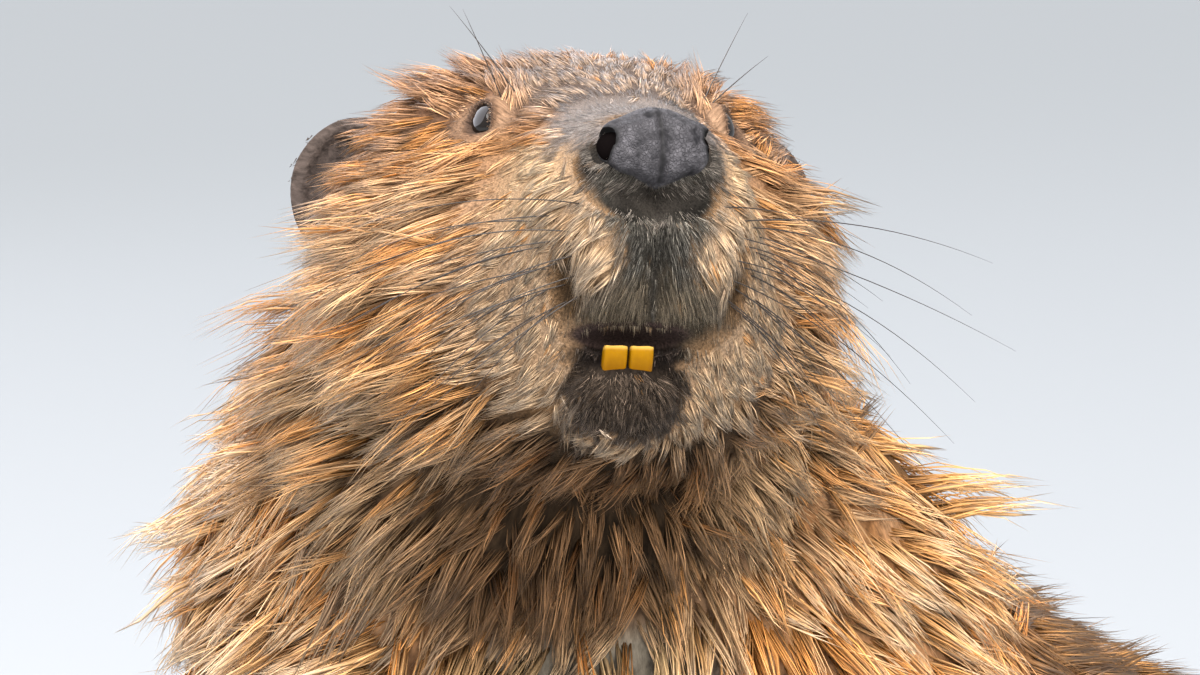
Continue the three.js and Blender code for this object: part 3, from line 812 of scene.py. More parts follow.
def zoneMasks(p, n):
    # how strongly each zone covers each point; later zones lie over earlier ones
    x, y, z = p.T
    h = toHead(p)
    f, s, u = h.T
    wobble = ripple(p, 34, 3) * 6
    side = np.abs(s)
    onHead = ease(-172, -140, f + wobble) * (1 - ease(1.12, 1.4, np.hypot(s / 82, (u + 18) / 74)))
    front = n @ unit(np.array([0.34, -0.93, -0.1]))
    across = x * 0.94 + (y + 286) * 0.34 - 78  # how far from the middle of the throat
    fore = 1 - ease(-70, -10, y + wobble)
    legs = np.maximum((1 - ease(70, 130, z)) * (1 - ease(-48, -34, y)) * ease(38, 48, np.abs(x)),
                      (1 - ease(24, 64, z)) * (1 - ease(60, 170, y)) * ease(64, 90, np.abs(x)) * (y > -20))
    low = z + 0.7 * wobble + 5 * ripple(p, 9, 8)
    feet = (1 - ease(22, 42, low)) * np.maximum(
        1 - ease(-110, -102, y), (y > -60) * (y < 165) * (np.abs(x) > 66))
    ears = np.zeros(len(p))
    for k in (1, -1):
        away = (h - onSide(earShape["at"], k)) / [14, 24, 24]
        ears = np.maximum(ears, (np.linalg.norm(away, axis=1) < 1.1) * ease(59, 63, side + 0.35 * (u - 16)))
    lids, orbits = np.zeros(len(p)), np.zeros(len(p))
    for k in (1, -1):
        rim = onSide(eye["at"], k) + eyeAxes(k)[0] * 6.5
        lids = np.maximum(lids, near(h, rim, 6.0, 0.25))
        orbits = np.maximum(orbits, near(h, rim, (11, 10, 9), 0.3))
    jaw = face["jawSwing"]
    # inside the mouth: behind and above the lower lip's rim
    mouth = near(h, (-14, jaw, -52), (17, 18, 3.8), 0.15) * (f < -1) * (u < -49.5)
    return {
        "belly": (1 - ease(24, 74, z)) * (1 - onHead) * (1 - ease(0.2, 0.7, np.abs(n[:, 0])) * 0.6),
        "rump": ease(225, 290, y),
        "neck": fore * (1 - onHead),
        "nape": fore * (1 - onHead)
            * ease(-0.1, 0.5, n @ unit(np.array([0, 0.75, 0.66])) + 0.12 * wobble / 6),
        "chest": fore * (1 - ease(14, 46, np.abs(across) + 12 * ripple(p, 50, 4) - 0.07 * (230 - z)))
            * ease(-0.2, 0.3, front) * (1 - ease(250, 330, z)) * (1 - onHead),
        "leg": legs,
        "foot": feet,
        "crown": onHead * ease(10, 34, u + wobble),
        "temple": onHead * ease(34, 52, side + wobble) * ease(-14, 12, u)
            * (1 - 0.8 * ease(20, 34, u)) * (1 - ease(-62, -44, f)),
        "cheek": onHead * (1 - ease(-4, 16, u + wobble * 0.6)) * (1 - ease(-44, -30, f)),
        "jowl": onHead * (1 - ease(-46, -22, u + 12 * ripple(p, 26, 7) / 2)) * (1 - ease(-44, -30, f)),
        # the throat under the chin: darker fur with painted shade from the chin's overhang
        "throat": onHead * (1 - ease(-64, -48, u + wobble * 0.5 + 0.12 * side)) * (1 - ease(-38, -26, f))
            * (1 - ease(24, 56, side + wobble)),
        "muzzle": onHead * ease(-46, -30, f + 0.25 * wobble) * (1 - ease(2, 12, u)),
        "flank": onHead * nearBoth(h + 1.5 * ripple(p, 14, 12)[:, None], (-24, 30, -4), (18, 11, 15), 0.45),
        "brow": onHead * ease(-98, -52, f + 2.2 * wobble) * (1 - ease(17, 41, side + 1.1 * wobble))
            * ease(2, 18, u + 0.12 * f),
        "bridge": onHead * ease(-40, -24, f) * (1 - ease(18, 28, side)) * ease(-2, 6, u),
        "orbit": orbits,
        "eyelid": lids,
        "groove": onHead * np.maximum(near(h, (2, 0, -3), (17, 20.5, 14.5), 0.14) * (u < 3), ease(-24, -16, f)
            * (1 - ease(-9, -3, u))
            * (1 - ease(8.5, 13, side - 7 * ease(-26, -14, u) - 0.06 * (u + 30) + 0.25 * wobble))),
        # painted shade along the whisker pad's crease
        "crease": onHead * nearBoth(h, (-12, 24, -33), (8, 4.5, 14), 0.45),
        # painted shade under the nose pad's overhang and in the crease beside the pad
        "shadeUnderPad": onHead * np.maximum(
            near(h + 1.6 * ripple(p, 6, 9)[:, None], (4, 0, -13.2), (18, 15.2, 6.0), 0.12),
            near(np.stack([f, side, u], -1) + 1.4 * ripple(p, 6, 9)[:, None],
                 (0, 18.0, -3.6), (11, 4.8, 7.4), 0.4)),
        "lip": onHead * near(h, (-8, 0, -46), (22, 23, 12), 0.3) * (f > -26),
        # painted shade in the upper lip's middle cleft
        "cleft": onHead * near(h, (2, 0, -40), (20, 1.7, 11), 0.5),
        "chin": (1 - ease(0.88, 1.10, (np.abs((h + 1.7 * ripple(p, 7, 6)[:, None] - [-28, jaw + 1, -65])
            / [27, 17.0, 16.2]) ** 2.4).sum(-1))) * (u < -51),
        "rim": near(h, (-12, jaw + 0.5, -57), (22, 18, 5.2), 0.25) * (u < -51.2) * (f < 8),
        "fringe": onHead * near(h, (-2, 0, 11.5), (10, 14, 4.0), 0.4) * (u > 4),
        "ear": ears,
        "mouth": mouth,
        # the nostril hollows: hairless, and their skin painted near black for the shade inside them
        "bare": nearBoth(h, nose["nostril"], 5.4, 0.1),
    }


def layered(masks, key):
    # a zone's value laid over the ones before it, by its mask
    first = np.asarray(zones["back"][key], float)
    value = np.broadcast_to(first, next(iter(masks.values())).shape + first.shape).copy()
    for name, mask in masks.items():
        share = mask if value.ndim == 1 else mask[:, None]
        value = mix(value, np.asarray(zones[name][key], float), share)
    return value


def coatSize(masks, p):
    # how long and how far apart: short and close by the nose, growing to the zone's own over the face
    grown = ease(26, 70, fromFace(toHead(p)))
    long, gap = layered(masks, "long"), layered(masks, "gap")
    f, s, u = toHead(p).T
    hanging = ease(-40, -49, u) * (u > -53) * (f > -22) * (np.abs(s) < 26)  # shorter at the lip's edge
    long = np.where(long > 14, mix(14, long, grown), long) * (1 - 0.5 * hanging)
    return long, np.where(gap > 2.1, mix(2.1, gap, grown), gap)


def normalsOf(points, tris):
    # each point's normal: the sum of its triangles' own
    return unit(sumAtPoints(faceCross(points, tris), tris, len(points)))


skinPoints, skinTris = pointsOf(skinMesh), trianglesOf(skinMesh)
skinNormals = normalsOf(skinPoints, skinTris)
skinMasks = zoneMasks(skinPoints, skinNormals)
under, tips = layered(skinMasks, "under"), layered(skinMasks, "tip")
patchy = 0.5 + 0.5 * ripple(skinPoints, 16, 21)
# rays from the nose: where a point lies by direction and by distance, for the streaks of the underfur
rays = skinPoints - fromHead(np.array([-30.0, 0, -8.0]))
behind = ease(-120, 0, skinPoints[:, 1])[:, None]
ways = mix(unit(rays), skinPoints * [0.008, 0.0004, 0.008], behind)
skinMesh.attributes.new("rayWay", "FLOAT_VECTOR", "POINT").data.foreach_set(
    "vector", ways.astype(np.float32).ravel())
skinMesh.attributes.new("rayFar", "FLOAT", "POINT").data.foreach_set(
    "value", np.linalg.norm(rays, axis=1).astype(np.float32))
nearFace = 1 - ease(40, 95, fromFace(toHead(skinPoints)))
showing = 0.05 + 0.09 * patchy + 0.13 * nearFace * (tips.mean(1) > 0.4)
setColours(skinMesh, "coatColour", mix(under, tips, showing[:, None]))
print("markings set on the skin")


# Materials.


def material(name):
    # a new material with its node tree, its links and its shader
    m = bpy.data.materials.new(name)
    m.use_nodes = True
    return m, m.node_tree.nodes, m.node_tree.links, m.node_tree.nodes["Principled BSDF"]


def addNode(nodes, kind, **values):
    # a node with its settings or its inputs set by name
    node = nodes.new(kind)
    for key, value in values.items():
        if hasattr(node, key):
            setattr(node, key, value)
        else:
            node.inputs[key.replace("_", " ")].default_value = value
    return node


def bumpOf(nodes, links, shader, height, strength, distance):
    # the height given tilts the shader's normal
    bump = addNode(nodes, "ShaderNodeBump", Strength=strength, Distance=distance)
    links.new(height, bump.inputs["Height"])
    links.new(bump.outputs["Normal"], shader.inputs["Normal"])
    return bump


def timesNoise(nodes, links, shader, attribute, noise, **span):
    # the base colour is the stored colour times the noise, read over the span given
    stored = addNode(nodes, "ShaderNodeAttribute", attribute_name=attribute)
    level = addNode(nodes, "ShaderNodeMapRange", **span)
    links.new(noise.outputs["Fac"], level.inputs["Value"])
    times = addNode(nodes, "ShaderNodeVectorMath", operation="SCALE")
    links.new(stored.outputs["Color"], times.inputs[0])
    links.new(level.outputs["Result"], times.inputs["Scale"])
    links.new(times.outputs["Vector"], shader.inputs["Base Color"])


def shadedColour(nodes, links, shader, attribute, scale, dark, light):
    # the stored colour, times a noise that runs from dark to light
    place = addNode(nodes, "ShaderNodeTexCoord")
    noise = addNode(nodes, "ShaderNodeTexNoise", Scale=scale, Detail=4.0)
    links.new(place.outputs["Object"], noise.inputs["Vector"])
    timesNoise(nodes, links, shader, attribute, noise, To_Min=dark, To_Max=light)
    return place


# the streaks' fineness across and along, their darkest and lightest, and how deep they stand
underfur = {"across": 75.0, "along": 0.0022, "dark": 0.4, "light": 1.6, "relief": 0.001}
wetHair = {"across": 5.0, "along": 0.8, "dark": 0.55, "light": 1.35, "relief": 0.0004}


def skinPaint(c):
    # noise that changes quickly across the rays from the nose and slowly along them
    m, nodes, links, shader = material("underfur")
    way = addNode(nodes, "ShaderNodeAttribute", attribute_name="rayWay")
    far = addNode(nodes, "ShaderNodeAttribute", attribute_name="rayFar")
    slow = addNode(nodes, "ShaderNodeMath", operation="MULTIPLY")
    slow.inputs[1].default_value = c["along"]
    links.new(far.outputs["Fac"], slow.inputs[0])
    streak = addNode(nodes, "ShaderNodeTexNoise", noise_dimensions="4D", Scale=c["across"], Detail=3.0,
                     Roughness=0.6)
    links.new(way.outputs["Vector"], streak.inputs["Vector"])
    links.new(slow.outputs[0], streak.inputs["W"])
    timesNoise(nodes, links, shader, "coatColour", streak,
               From_Min=0.3, From_Max=0.72, To_Min=c["dark"], To_Max=c["light"])
    shader.inputs["Roughness"].default_value = 0.65
    shader.inputs["Specular IOR Level"].default_value = 0.04
    bumpOf(nodes, links, shader, streak.outputs["Fac"], 0.8, c["relief"])
    return m


def hairPaint(c):
    # streaks run the length of each hair, by the piece's own map of across and along
    m, nodes, links, shader = material("wetHair")
    strand = addNode(nodes, "ShaderNodeUVMap", uv_map="strand")
    stretch = addNode(nodes, "ShaderNodeMapping")
    stretch.inputs["Scale"].default_value = (c["across"], c["along"], 1.0)
    links.new(strand.outputs["UV"], stretch.inputs["Vector"])
    streak = addNode(nodes, "ShaderNodeTexNoise", noise_dimensions="2D", Scale=1.0, Detail=2.0)
    links.new(stretch.outputs["Vector"], streak.inputs["Vector"])
    timesNoise(nodes, links, shader, "coatColour", streak,
               From_Min=0.28, From_Max=0.72, To_Min=c["dark"], To_Max=c["light"])
    shader.inputs["Roughness"].default_value = 0.34
    shader.inputs["Specular IOR Level"].default_value = 0.14
    bumpOf(nodes, links, shader, streak.outputs["Fac"], 0.5, c["relief"])
    return m


skinMesh.materials.clear()
skinMesh.materials.append(skinPaint(underfur))
hair = hairPaint(wetHair)
print("skin and hair painted")


# Coat: locks of solid hairs.


def scatter(points, tris, normals, weight, count, seed):
    # evenly spaced draws along a curve that visits neighbouring triangles in turn
    own = np.random.default_rng(seed)
    centre = points[tris].mean(1)
    area = np.linalg.norm(faceCross(points, tris), axis=1) / 2
    cell = ((centre - centre.min(0)) / (np.ptp(centre, axis=0).max() + 1e-6) * 1023).astype(np.int64)
    code = np.zeros(len(tris), np.int64)
    for bit in range(10):
        for axis in range(3):
            code |= ((cell[:, axis] >> bit) & 1) << (3 * bit + axis)
    order = np.argsort(code, kind="stable")
    total = np.cumsum((area * weight)[order])
    spot = (np.arange(count) + own.random(count)) / count * total[-1]
    pick = order[np.minimum(np.searchsorted(total, spot), len(order) - 1)]
    a, b = own.random((2, count))
    flip = a + b > 1
    a, b = np.where(flip, 1 - a, a), np.where(flip, 1 - b, b)
    share = np.stack([1 - a - b, a, b], -1)[..., None]
    return (points[tris[pick]] * share).sum(1), unit((normals[tris[pick]] * share).sum(1))


def flowAt(p, n):
    # the way the coat lies: away from the nose over head and neck, along the spine behind,
    # down the legs, forward on the feet, with some weight, laid into the surface
    x, y, z = p.T
    h = toHead(p)
    far = fromFace(h)
    source = np.stack([0 * x - 4, np.clip(0.25 * h[:, 1], -25, 25),
                       np.clip(mix(0.5, 0.94, ease(36, 76, far)) * h[:, 2] + 4, -62, 26)], -1)
    fromNose = unit(h - source) @ headTurned + ease(30, 70, np.abs(h[:, 1]))[:, None] * [0, 0, -0.16]
    back = ease(-120, 0, y)[:, None]
    for k in (1, -1):
        away = h - onSide(eye["at"], k)
        beside = 1 - ease(8, 22, np.linalg.norm(away, axis=1))
        fromNose = fromNose + 1.1 * unit(away @ headTurned) * beside[:, None]
    chin = near(h, (-28, face["jawSwing"], -67), (24, 20, 18))
    fromNose = unit(fromNose + 1.3 * (chin * ripple(p, 8, 41))[:, None] * np.cross(n, fromNose))
    hang = (ease(-20, -14, h[:, 0]) * (1 - ease(-44, -36, h[:, 2])))[:, None]
    way = mix(mix(fromNose, unit(fromNose + [0, 0, -0.9]), hang), [0, 0.94, -0.34], back)
    arm = (1 - ease(90, 140, z)) * (1 - ease(-44, -30, y)) * ease(38, 48, np.abs(x))
    way = mix(way, [0, -0.12, -1], arm[:, None])
    thigh = (1 - ease(40, 90, z)) * (1 - ease(60, 170, y)) * ease(64, 90, np.abs(x)) * (y > -20)
    way = mix(way, [0, 0.15, -1], thigh[:, None])
    feet = (1 - ease(26, 36, z)) * np.maximum(y < -108, (y > -60) * (y < 165) * (np.abs(x) > 66))
    way = mix(way, [0, -1, 0], feet[:, None])
    return unit(way - n * dot(way, n))


def turned(way, n, angle):
    # a direction in the surface, turned about the normal
    return way * np.cos(angle)[:, None] + np.cross(n, way) * np.sin(angle)[:, None]


def nearest(p, centres, block=1500):
    # the number of the closest centre for every point
    found = np.empty(len(p), np.int64)
    c = centres.astype(np.float32)
    square = (c * c).sum(1)
    for i in range(0, len(p), block):
        q = p[i:i + block].astype(np.float32)
        found[i:i + block] = (square - 2 * q @ c.T).argmin(1)
    return found


def turnShare(aside, up):
    # the angle from upright as a share of a whole turn, 0.5 at the top
    return np.arctan2(aside, up) / (2 * math.pi) + 0.5


def unwrapped(p):
    # a flat place for each root: height and angle round the head, or round the trunk
    h = toHead(p)
    onHead = (h[:, 0] > -150) & (fromSkullAxis(h) < 1.2)
    head = [0.02 + 0.44 * turnShare(h[:, 1], h[:, 2] + 18), 0.5 + 0.46 * (12 - h[:, 0]) / 175]
    middle = np.interp(p[:, 1], [-216, -88, 15, 118, 202, 312], [304, 192, 142, 108, 84, 35])
    body = [0.5 + 0.47 * turnShare(p[:, 0], p[:, 2] - middle), 0.03 + 0.94 * (p[:, 1] + 260) / 630]
    return np.clip(np.stack([np.where(onHead, a, b) for a, b in zip(head, body)], -1), 0.004, 0.99)


tuftPatch = 0.003  # how wide each lock's patch is on the baking map
# how a lock's hairs differ: length, how far the tips draw together, the share left loose, lift, width,
# and how flat they are; a lock whose gap is over coreGap has a broad, flatter core under its hairs
hairHabits = {"long": (0.62, 1.06), "drawn": (0.80, 0.99), "loose": 0.06, "lift": (0.75, 1.3),
              "width": (0.65, 1.3), "flat": 0.7, "coreGap": 3.3, "coreFlat": 0.28, "coreWidest": 3.6}


def growHairs(locks, layer, own):
    # every lock is a bundle: roots spread over an oval, tips drawn together; a hair's centre is
    # root + long * (along * t + normal * (lift * t - hug * t^2) + side * (bend * t^2 + wave))
    perLock, width, rings = layer["hairs"], layer["width"], layer["rings"]
    habit, count = hairHabits, len(locks["root"])
    lock = np.repeat(np.arange(count), perLock)
    size = len(lock)
    n, d = locks["normal"][lock], locks["way"][lock]
    b = np.cross(n, d)
    gap, long = locks["gap"][lock], locks["long"][lock] * own.uniform(*habit["long"], size)
    radius, angle = np.sqrt(own.random(size)), own.uniform(0, 2 * math.pi, size)
    ahead, aside = radius * np.cos(angle) * gap * 0.85, radius * np.sin(angle) * gap * 0.62
    within = np.tile(np.arange(perLock), count)
    core = (within < max(1, perLock // 6)) & (gap > habit["coreGap"])
    long = np.where(core, long * 0.95, long)
    aside, ahead = np.where(core, aside * 0.5, aside), np.where(core, ahead * 0.5, ahead)
    loose = (own.random(size) < habit["loose"]) & ~core
    tight = np.interp(gap, [2.0, 3.2], [0.25, 1.0])
    gather = np.where(loose, own.uniform(0.0, 0.5, size), own.uniform(*habit["drawn"], size) * tight)
    lift = locks["lift"][lock] * own.uniform(*habit["lift"], size) + np.where(loose, 0.1, 0.0)
    hug = 0.42 * locks["lift"][lock] + own.uniform(0.0, 0.08, size)
    bend = locks["bend"][lock] + own.normal(0, 0.03, size)
    wave, phase = own.normal(0, 0.014, size), own.uniform(0, 2 * math.pi, size)
    t = np.linspace(0, 1, rings + 1)[None]
    held = 1 - gather[:, None] * t ** 1.25
    along = long[:, None] * t + ahead[:, None] * (0.5 + 0.5 * held)
    weave = np.sin(2.4 * math.pi * t + phase[:, None]) - np.sin(phase[:, None])
    across = aside[:, None] * held + long[:, None] * (bend[:, None] * t**2 + wave[:, None] * weave)
    rise = long[:, None] * (lift[:, None] * t - hug[:, None] * t**2) - 0.5 - 0.5 * core[:, None] * t
    centre = locks["root"][lock][:, None] + d[:, None] * along[..., None] + b[:, None] * across[..., None] \
        + n[:, None] * rise[..., None]
    centre[..., 2] = np.maximum(centre[..., 2], 0.5)
    tangent = unit(np.gradient(centre, axis=1))
    up = unit(n[:, None] - tangent * dot(tangent, n[:, None]))
    right = np.cross(tangent, up)
    broad = np.where(core, np.minimum(habit["coreWidest"], 0.5 * gap / width),
                     own.uniform(*habit["width"], size))
    wide = width * broad[:, None] * np.interp(t, [0, 0.35, 0.7, 1], [0.9, 1.0, 0.66, 0.0])
    body = centre[:, :rings]
    spin = np.where(core, 0.5 * math.pi, own.uniform(0, 2 * math.pi, size))
    turn = spin[:, None] + 2 * math.pi * np.arange(3) / 3
    flat_ = np.where(core, habit["coreFlat"], habit["flat"])[:, None, None, None]
    cosine, sine = np.cos(turn)[:, None, :, None], np.sin(turn)[:, None, :, None]
    section = right[:, :rings, None] * cosine + up[:, :rings, None] * flat_ * sine
    ring = body[:, :, None] + section * (wide[:, :rings, None, None] / 2)
    points = np.concatenate([ring.reshape(size, rings * 3, 3), centre[:, rings:]], 1)
    k = np.arange(3)
    m = (k + 1) % 3
    pattern = [[0, 2, 1]]
    for r in range(rings - 1):
        pattern += np.stack([r * 3 + k, r * 3 + m, r * 3 + 3 + m], -1).tolist()
        pattern += np.stack([r * 3 + k, r * 3 + 3 + m, r * 3 + 3 + k], -1).tolist()
    top = (rings - 1) * 3
    pattern += np.stack([top + k, top + m, np.full(3, rings * 3)], -1).tolist()
    tris = np.array(pattern)[None] + (np.arange(size) * (rings * 3 + 1))[:, None, None]
    # colours: the underfur's at the root, warming to the lock's own tip
    varied = 0.26 + (rings < 2) * (0.24 + 0.36 * (locks["tip"][lock].mean(1) < 0.34) * (gap < 3))
    shade = np.where(core, 0.72, np.exp(own.normal(-0.04, 1, size) * varied))[:, None, None]
    share = np.append(np.repeat(t[0, :rings], 3), 1.0)
    share = share[None, :, None]
    tip = locks["tip"][lock][:, None] * shade
    middle = tip * [0.74, 0.555, 0.33]
    colour = mix(locks["under"][lock][:, None], middle, ease(0.0, 0.42, share))
    colour = mix(colour, tip, ease(0.22, 0.85, share))
    patch = unwrapped(locks["root"][lock])
    flat = np.stack([np.append(np.tile(k / 2, rings), 0.5), np.append(np.repeat(t[0, :rings], 3), 1.0)], -1)
    uv = patch[:, None] + flat[None] * tuftPatch
    across = np.append(np.tile([0.5, 0.0, 1.0], rings), 0.5) * np.where(core, 1.0, 0.3)[:, None]
    strand = np.stack([across + own.uniform(0, 60, (size, 1)), 0 * across + flat[None, :, 1]], -1)
    return points, tris, hueKept(colour, 0.97), uv, strand


def hairPiece(name, points, tris, colour, uv, strand):
    # one piece of the coat, with its colours and both of its maps
    mesh = newMesh(name, points.reshape(-1, 3), np.empty((0, 4)), tris.reshape(-1, 3))
    setColours(mesh, "coatColour", colour.reshape(-1, 3))
    corner = np.empty(len(mesh.loops), np.int32)
    mesh.loops.foreach_get("vertex_index", corner)
    for mapName, value in (("OFBake", uv), ("strand", strand)):
        layer = mesh.uv_layers.new(name=mapName)
        layer.uv.foreach_set("vector", value.reshape(-1, 2)[corner].astype(np.float32).ravel())
    mesh.materials.append(hair)
    piece = newPiece(name, mesh)
    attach(piece, "root")
    return len(tris.reshape(-1, 3))


# what sets tufts apart: the share that stand proud, their lift, the rusty and the pale tone; and how a
# hair keeps off an eye and an ear: it stops so far short, if it would pass so close
tuftHabits = {"proud": 0.17, "lift": (0.65, 1.25), "rusty": tone(240, 174, 98), "pale": tone(116, 103, 84),
              "eyeStop": 6.2, "eyePass": 8.5, "earShare": 0.84}


def makeLocks(weight, layer, seed):
    # locks stand on the skin; the nearest tuft centre draws their tips to its own and sets their hue
    own, count, habit = np.random.default_rng(seed), layer["locks"], tuftHabits
    p, n = scatter(skinPoints, skinTris, skinNormals, weight, count, seed)
    masks = zoneMasks(p, n)
    way = flowAt(p, n)
    swirl = layer["stray"] * (0.9 * ripple(p, 60, 31) + 0.35 * ripple(p, 20, 32)) + own.normal(0, 0.06, count)
    way = turned(way, n, swirl)
    long, gap = coatSize(masks, p)
    long = long * (0.86 + 0.22 * ripple(p, 22, 33)) * own.uniform(0.8, 1.15, count)
    pick = own.random(count) < 1 / layer["tuft"]
    centres, centreWay, centreLong = p[pick], way[pick], long[pick]
    tuft = nearest(p, centres)
    target = centres[tuft] + centreWay[tuft] * centreLong[tuft][:, None]
    toTarget = target - p
    toTarget = toTarget - n * dot(toTarget, n)
    reach = np.linalg.norm(toTarget, axis=1)
    pull = layer["pull"] * own.uniform(0.65, 1.0, len(centres))[tuft] * ease(0.15, 0.5, reach / long)
    way = unit(mix(way, unit(toTarget), pull[:, None]))
    long = mix(long, np.minimum(reach, long * 1.3), 0.6 * pull)
    tufts = len(centres)
    proud = own.random(tufts) < habit["proud"]
    raised = 1 + np.where(p[:, 1] > -70, 0.5, 1.3) * proud[tuft] * (long > 31)
    lift = layered(masks, "lift") * own.uniform(*habit["lift"], tufts)[tuft] * raised
    long = long * (1 + 0.15 * proud[tuft]) * own.uniform(0.85, 1.12, tufts)[tuft]
    rust = layered(masks, "rust")
    draw = own.random(tufts)[tuft] + own.normal(0, 0.12, count)
    tip, under_ = layered(masks, "tip"), layered(masks, "under")
    tip = tip * np.exp(own.normal(0, 0.15, tufts)[tuft] * np.interp(gap, [1.9, 3.0], [0.5, 1.0]))[:, None]
    rusty = ease(0, 0.3, rust - draw)
    tip = mix(tip, habit["rusty"] * (0.4 + 0.6 * tip[:, :1] / 0.85), rusty[:, None] * 0.7)
    pale = ease(0.76, 1.0, draw) * ease(0.17, 0.3, rust) * ease(2.3, 3.0, gap)
    tip = hueKept(mix(tip, tip * 1.05 + habit["pale"] * 0.5, pale[:, None] * 0.6), 0.96)
    # hair that points at an eye stops short of it
    h = toHead(p)
    for k in (1, -1):
        away = h - (onSide(eye["at"], k) + eyeAxes(k)[0] * 6.5)
        far = np.linalg.norm(away, axis=1)
        towards = -dot(way @ headTurned.T, away)[:, 0] / far
        passing = far * np.sqrt(np.maximum(0, 1 - towards**2))
        limit = np.where((towards > 0) & (passing < habit["eyePass"]),
                         np.maximum(far - habit["eyeStop"], 1.0), 99)
        long = np.where(far < 60, np.minimum(long, np.where(far < 7.0, 1.0, limit)), long)
    # hair before an ear reaches no further than its middle
    for k in (1, -1):
        far = np.linalg.norm(h - (onSide(earShape["at"], k) + [4, k * 2, 2]), axis=1)
        before = (far < 46) & (h[:, 0] > earShape["at"][0] + 2) & (k * h[:, 1] > 30)
        long = np.where(before, np.minimum(long, far * habit["earShare"] + own.uniform(-3, 5, count)), long)
    return {"root": p, "normal": n, "way": way, "long": long, "gap": gap, "lift": lift,
            "bend": own.normal(0, 0.06, tufts)[tuft] + own.normal(0, 0.025, count),
            "under": under_ * own.uniform(0.75, 1.15, (count, 1)), "tip": tip}


# One entry for each layer: its locks, the hairs in a lock, the hair's width, how many rings a
# hair has, how far the locks stray, how many share a tuft and how strongly it draws them.
coatLayers = {
    "short": {"locks": 7400, "hairs": 11, "width": 0.35, "rings": 1, "stray": 0.10, "tuft": 2, "pull": 0.3},
    "head": {"locks": 4650, "hairs": 11, "width": 0.40, "rings": 2, "stray": 0.15, "tuft": 6, "pull": 1.0},
    "fore": {"locks": 2000, "hairs": 11, "width": 0.56, "rings": 3, "stray": 0.18, "tuft": 6, "pull": 1.0},
    "wet": {"locks": 520, "hairs": 9, "width": 0.50, "rings": 3, "stray": 0.28, "tuft": 3, "pull": 1.0},
    "rear": {"locks": 3900, "hairs": 13, "width": 0.95, "rings": 1, "stray": 0.20, "tuft": 5, "pull": 1.0},
    "feet": {"locks": 1300, "hairs": 8, "width": 0.45, "rings": 1, "stray": 0.20, "tuft": 3, "pull": 0.5},
}
# the loose wet locks beside the others: closer, longer, more lifted and darker
wetLocks = {"gap": 0.62, "long": 1.08, "lift": 1.6, "liftMost": 0.46, "tip": (0.95, 0.85, 0.72)}
pieceLimit = 190000  # triangles in one piece
sideReach = 177.0  # how far from the middle plane a lock may reach


def heldIn(locks):
    # a lock whose tip would pass sideReach is shortened to end there, to a fifth at the least
    side = np.abs(locks["root"][:, 0])
    way = locks["way"] + locks["lift"][:, None] * locks["normal"]
    outward = np.abs(locks["root"][:, 0] + locks["long"] * way[:, 0]) - side
    return locks["long"] * np.clip((sideReach - side) / np.maximum(outward, 1e-6), 0.2, 1)


def layerWeights(centres, normals):
    # how thickly each layer stands on each triangle: its mask over the gap squared
    masks = zoneMasks(centres, normals)
    long, gap = coatSize(masks, centres)
    soles = np.where((centres[:, 2] < 32) & (normals[:, 2] < -0.3), 0.15, 1)
    dense = (1 - masks["bare"]) * (1 - masks["mouth"]) * (centres[:, 2] > 0.6) * soles
    h = toHead(centres)
    byTeeth = (np.abs(h[:, 1] - face["jawSwing"]) < 8.1) & (h[:, 0] > -36) & (h[:, 2] < -52) \
        & ((h[:, 0] < -15.6) & (h[:, 2] > -66) | (h[:, 2] > -59.2))
    dense = dense * (1 - byTeeth)
    short = 1 - ease(10.2, 10.8, long)
    bareFoot = np.maximum(masks["foot"], masks["ear"])
    head = (1 - short) * ease(-170, -150, h[:, 0]) * (fromSkullAxis(h) < 1.3)
    fore = (1 - short) * (1 - head) * (1 - ease(-30, 20, centres[:, 1]))
    rear = (1 - short) * (1 - head) * (1 - fore)
    loose = (long > 26) * (head + fore) * (1 - masks["crown"]) * (h[:, 2] < 14)
    return {"short": dense * short * (bareFoot < 0.5) / gap**2, "head": dense * head / gap**2,
            "fore": dense * fore / gap**2, "wet": dense * loose / gap**1.5, "rear": dense * rear / gap**2,
            "feet": dense * short * (bareFoot >= 0.5)}


def growCoat():
    # every layer's locks and hairs, cut into pieces of no more than pieceLimit triangles
    centres = skinPoints[skinTris].mean(1)
    weights = layerWeights(centres, unit(skinNormals[skinTris].sum(1)))
    total = 0
    for seed, (name, layer) in enumerate(coatLayers.items()):
        locks = makeLocks(weights[name], layer, 100 + seed)
        if name == "wet":
            locks["gap"], locks["long"] = wetLocks["gap"] * locks["gap"], wetLocks["long"] * locks["long"]
            locks["lift"] = np.minimum(wetLocks["lift"] * locks["lift"], wetLocks["liftMost"])
            locks["tip"] = locks["tip"] * wetLocks["tip"]
        locks["long"] = heldIn(locks)
        own = np.random.default_rng(200 + seed)
        made = growHairs(locks, layer, own)
        each = made[1].shape[1]
        pieces = math.ceil(len(made[1]) * each / pieceLimit)
        edges = np.linspace(0, len(made[1]), pieces + 1).astype(int)
        perHair = made[0].shape[1]
        for k in range(pieces):
            part = slice(edges[k], edges[k + 1])
            tris = made[1][part] - edges[k] * perHair
            total += hairPiece(f"coat_{name}_{k + 1}", made[0][part], tris, *(m[part] for m in made[2:]))
    print("coat:", total, "triangles")


growCoat()


# Eyes, nose, teeth, claws, tail, whiskers.


def eyePaint():
    # black and very smooth, so it mirrors what is round it
    m, nodes, links, shader = material("wetEye")
    shader.inputs["Base Color"].default_value = (0.006, 0.004, 0.003, 1)
    shader.inputs["Roughness"].default_value = 0.05
    shader.inputs["IOR"].default_value = 1.42
    return m


def addPiece(name, mesh, paint, slotName, *nodesReplaced):
    # a finished piece that rides the root, with the solids that it stands for hidden; slotName is not used
    mesh.materials.clear()
    mesh.materials.append(paint)
    piece = newPiece(name, mesh)
    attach(piece, "root")
    if nodesReplaced:
        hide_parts(*nodesReplaced)
    return piece


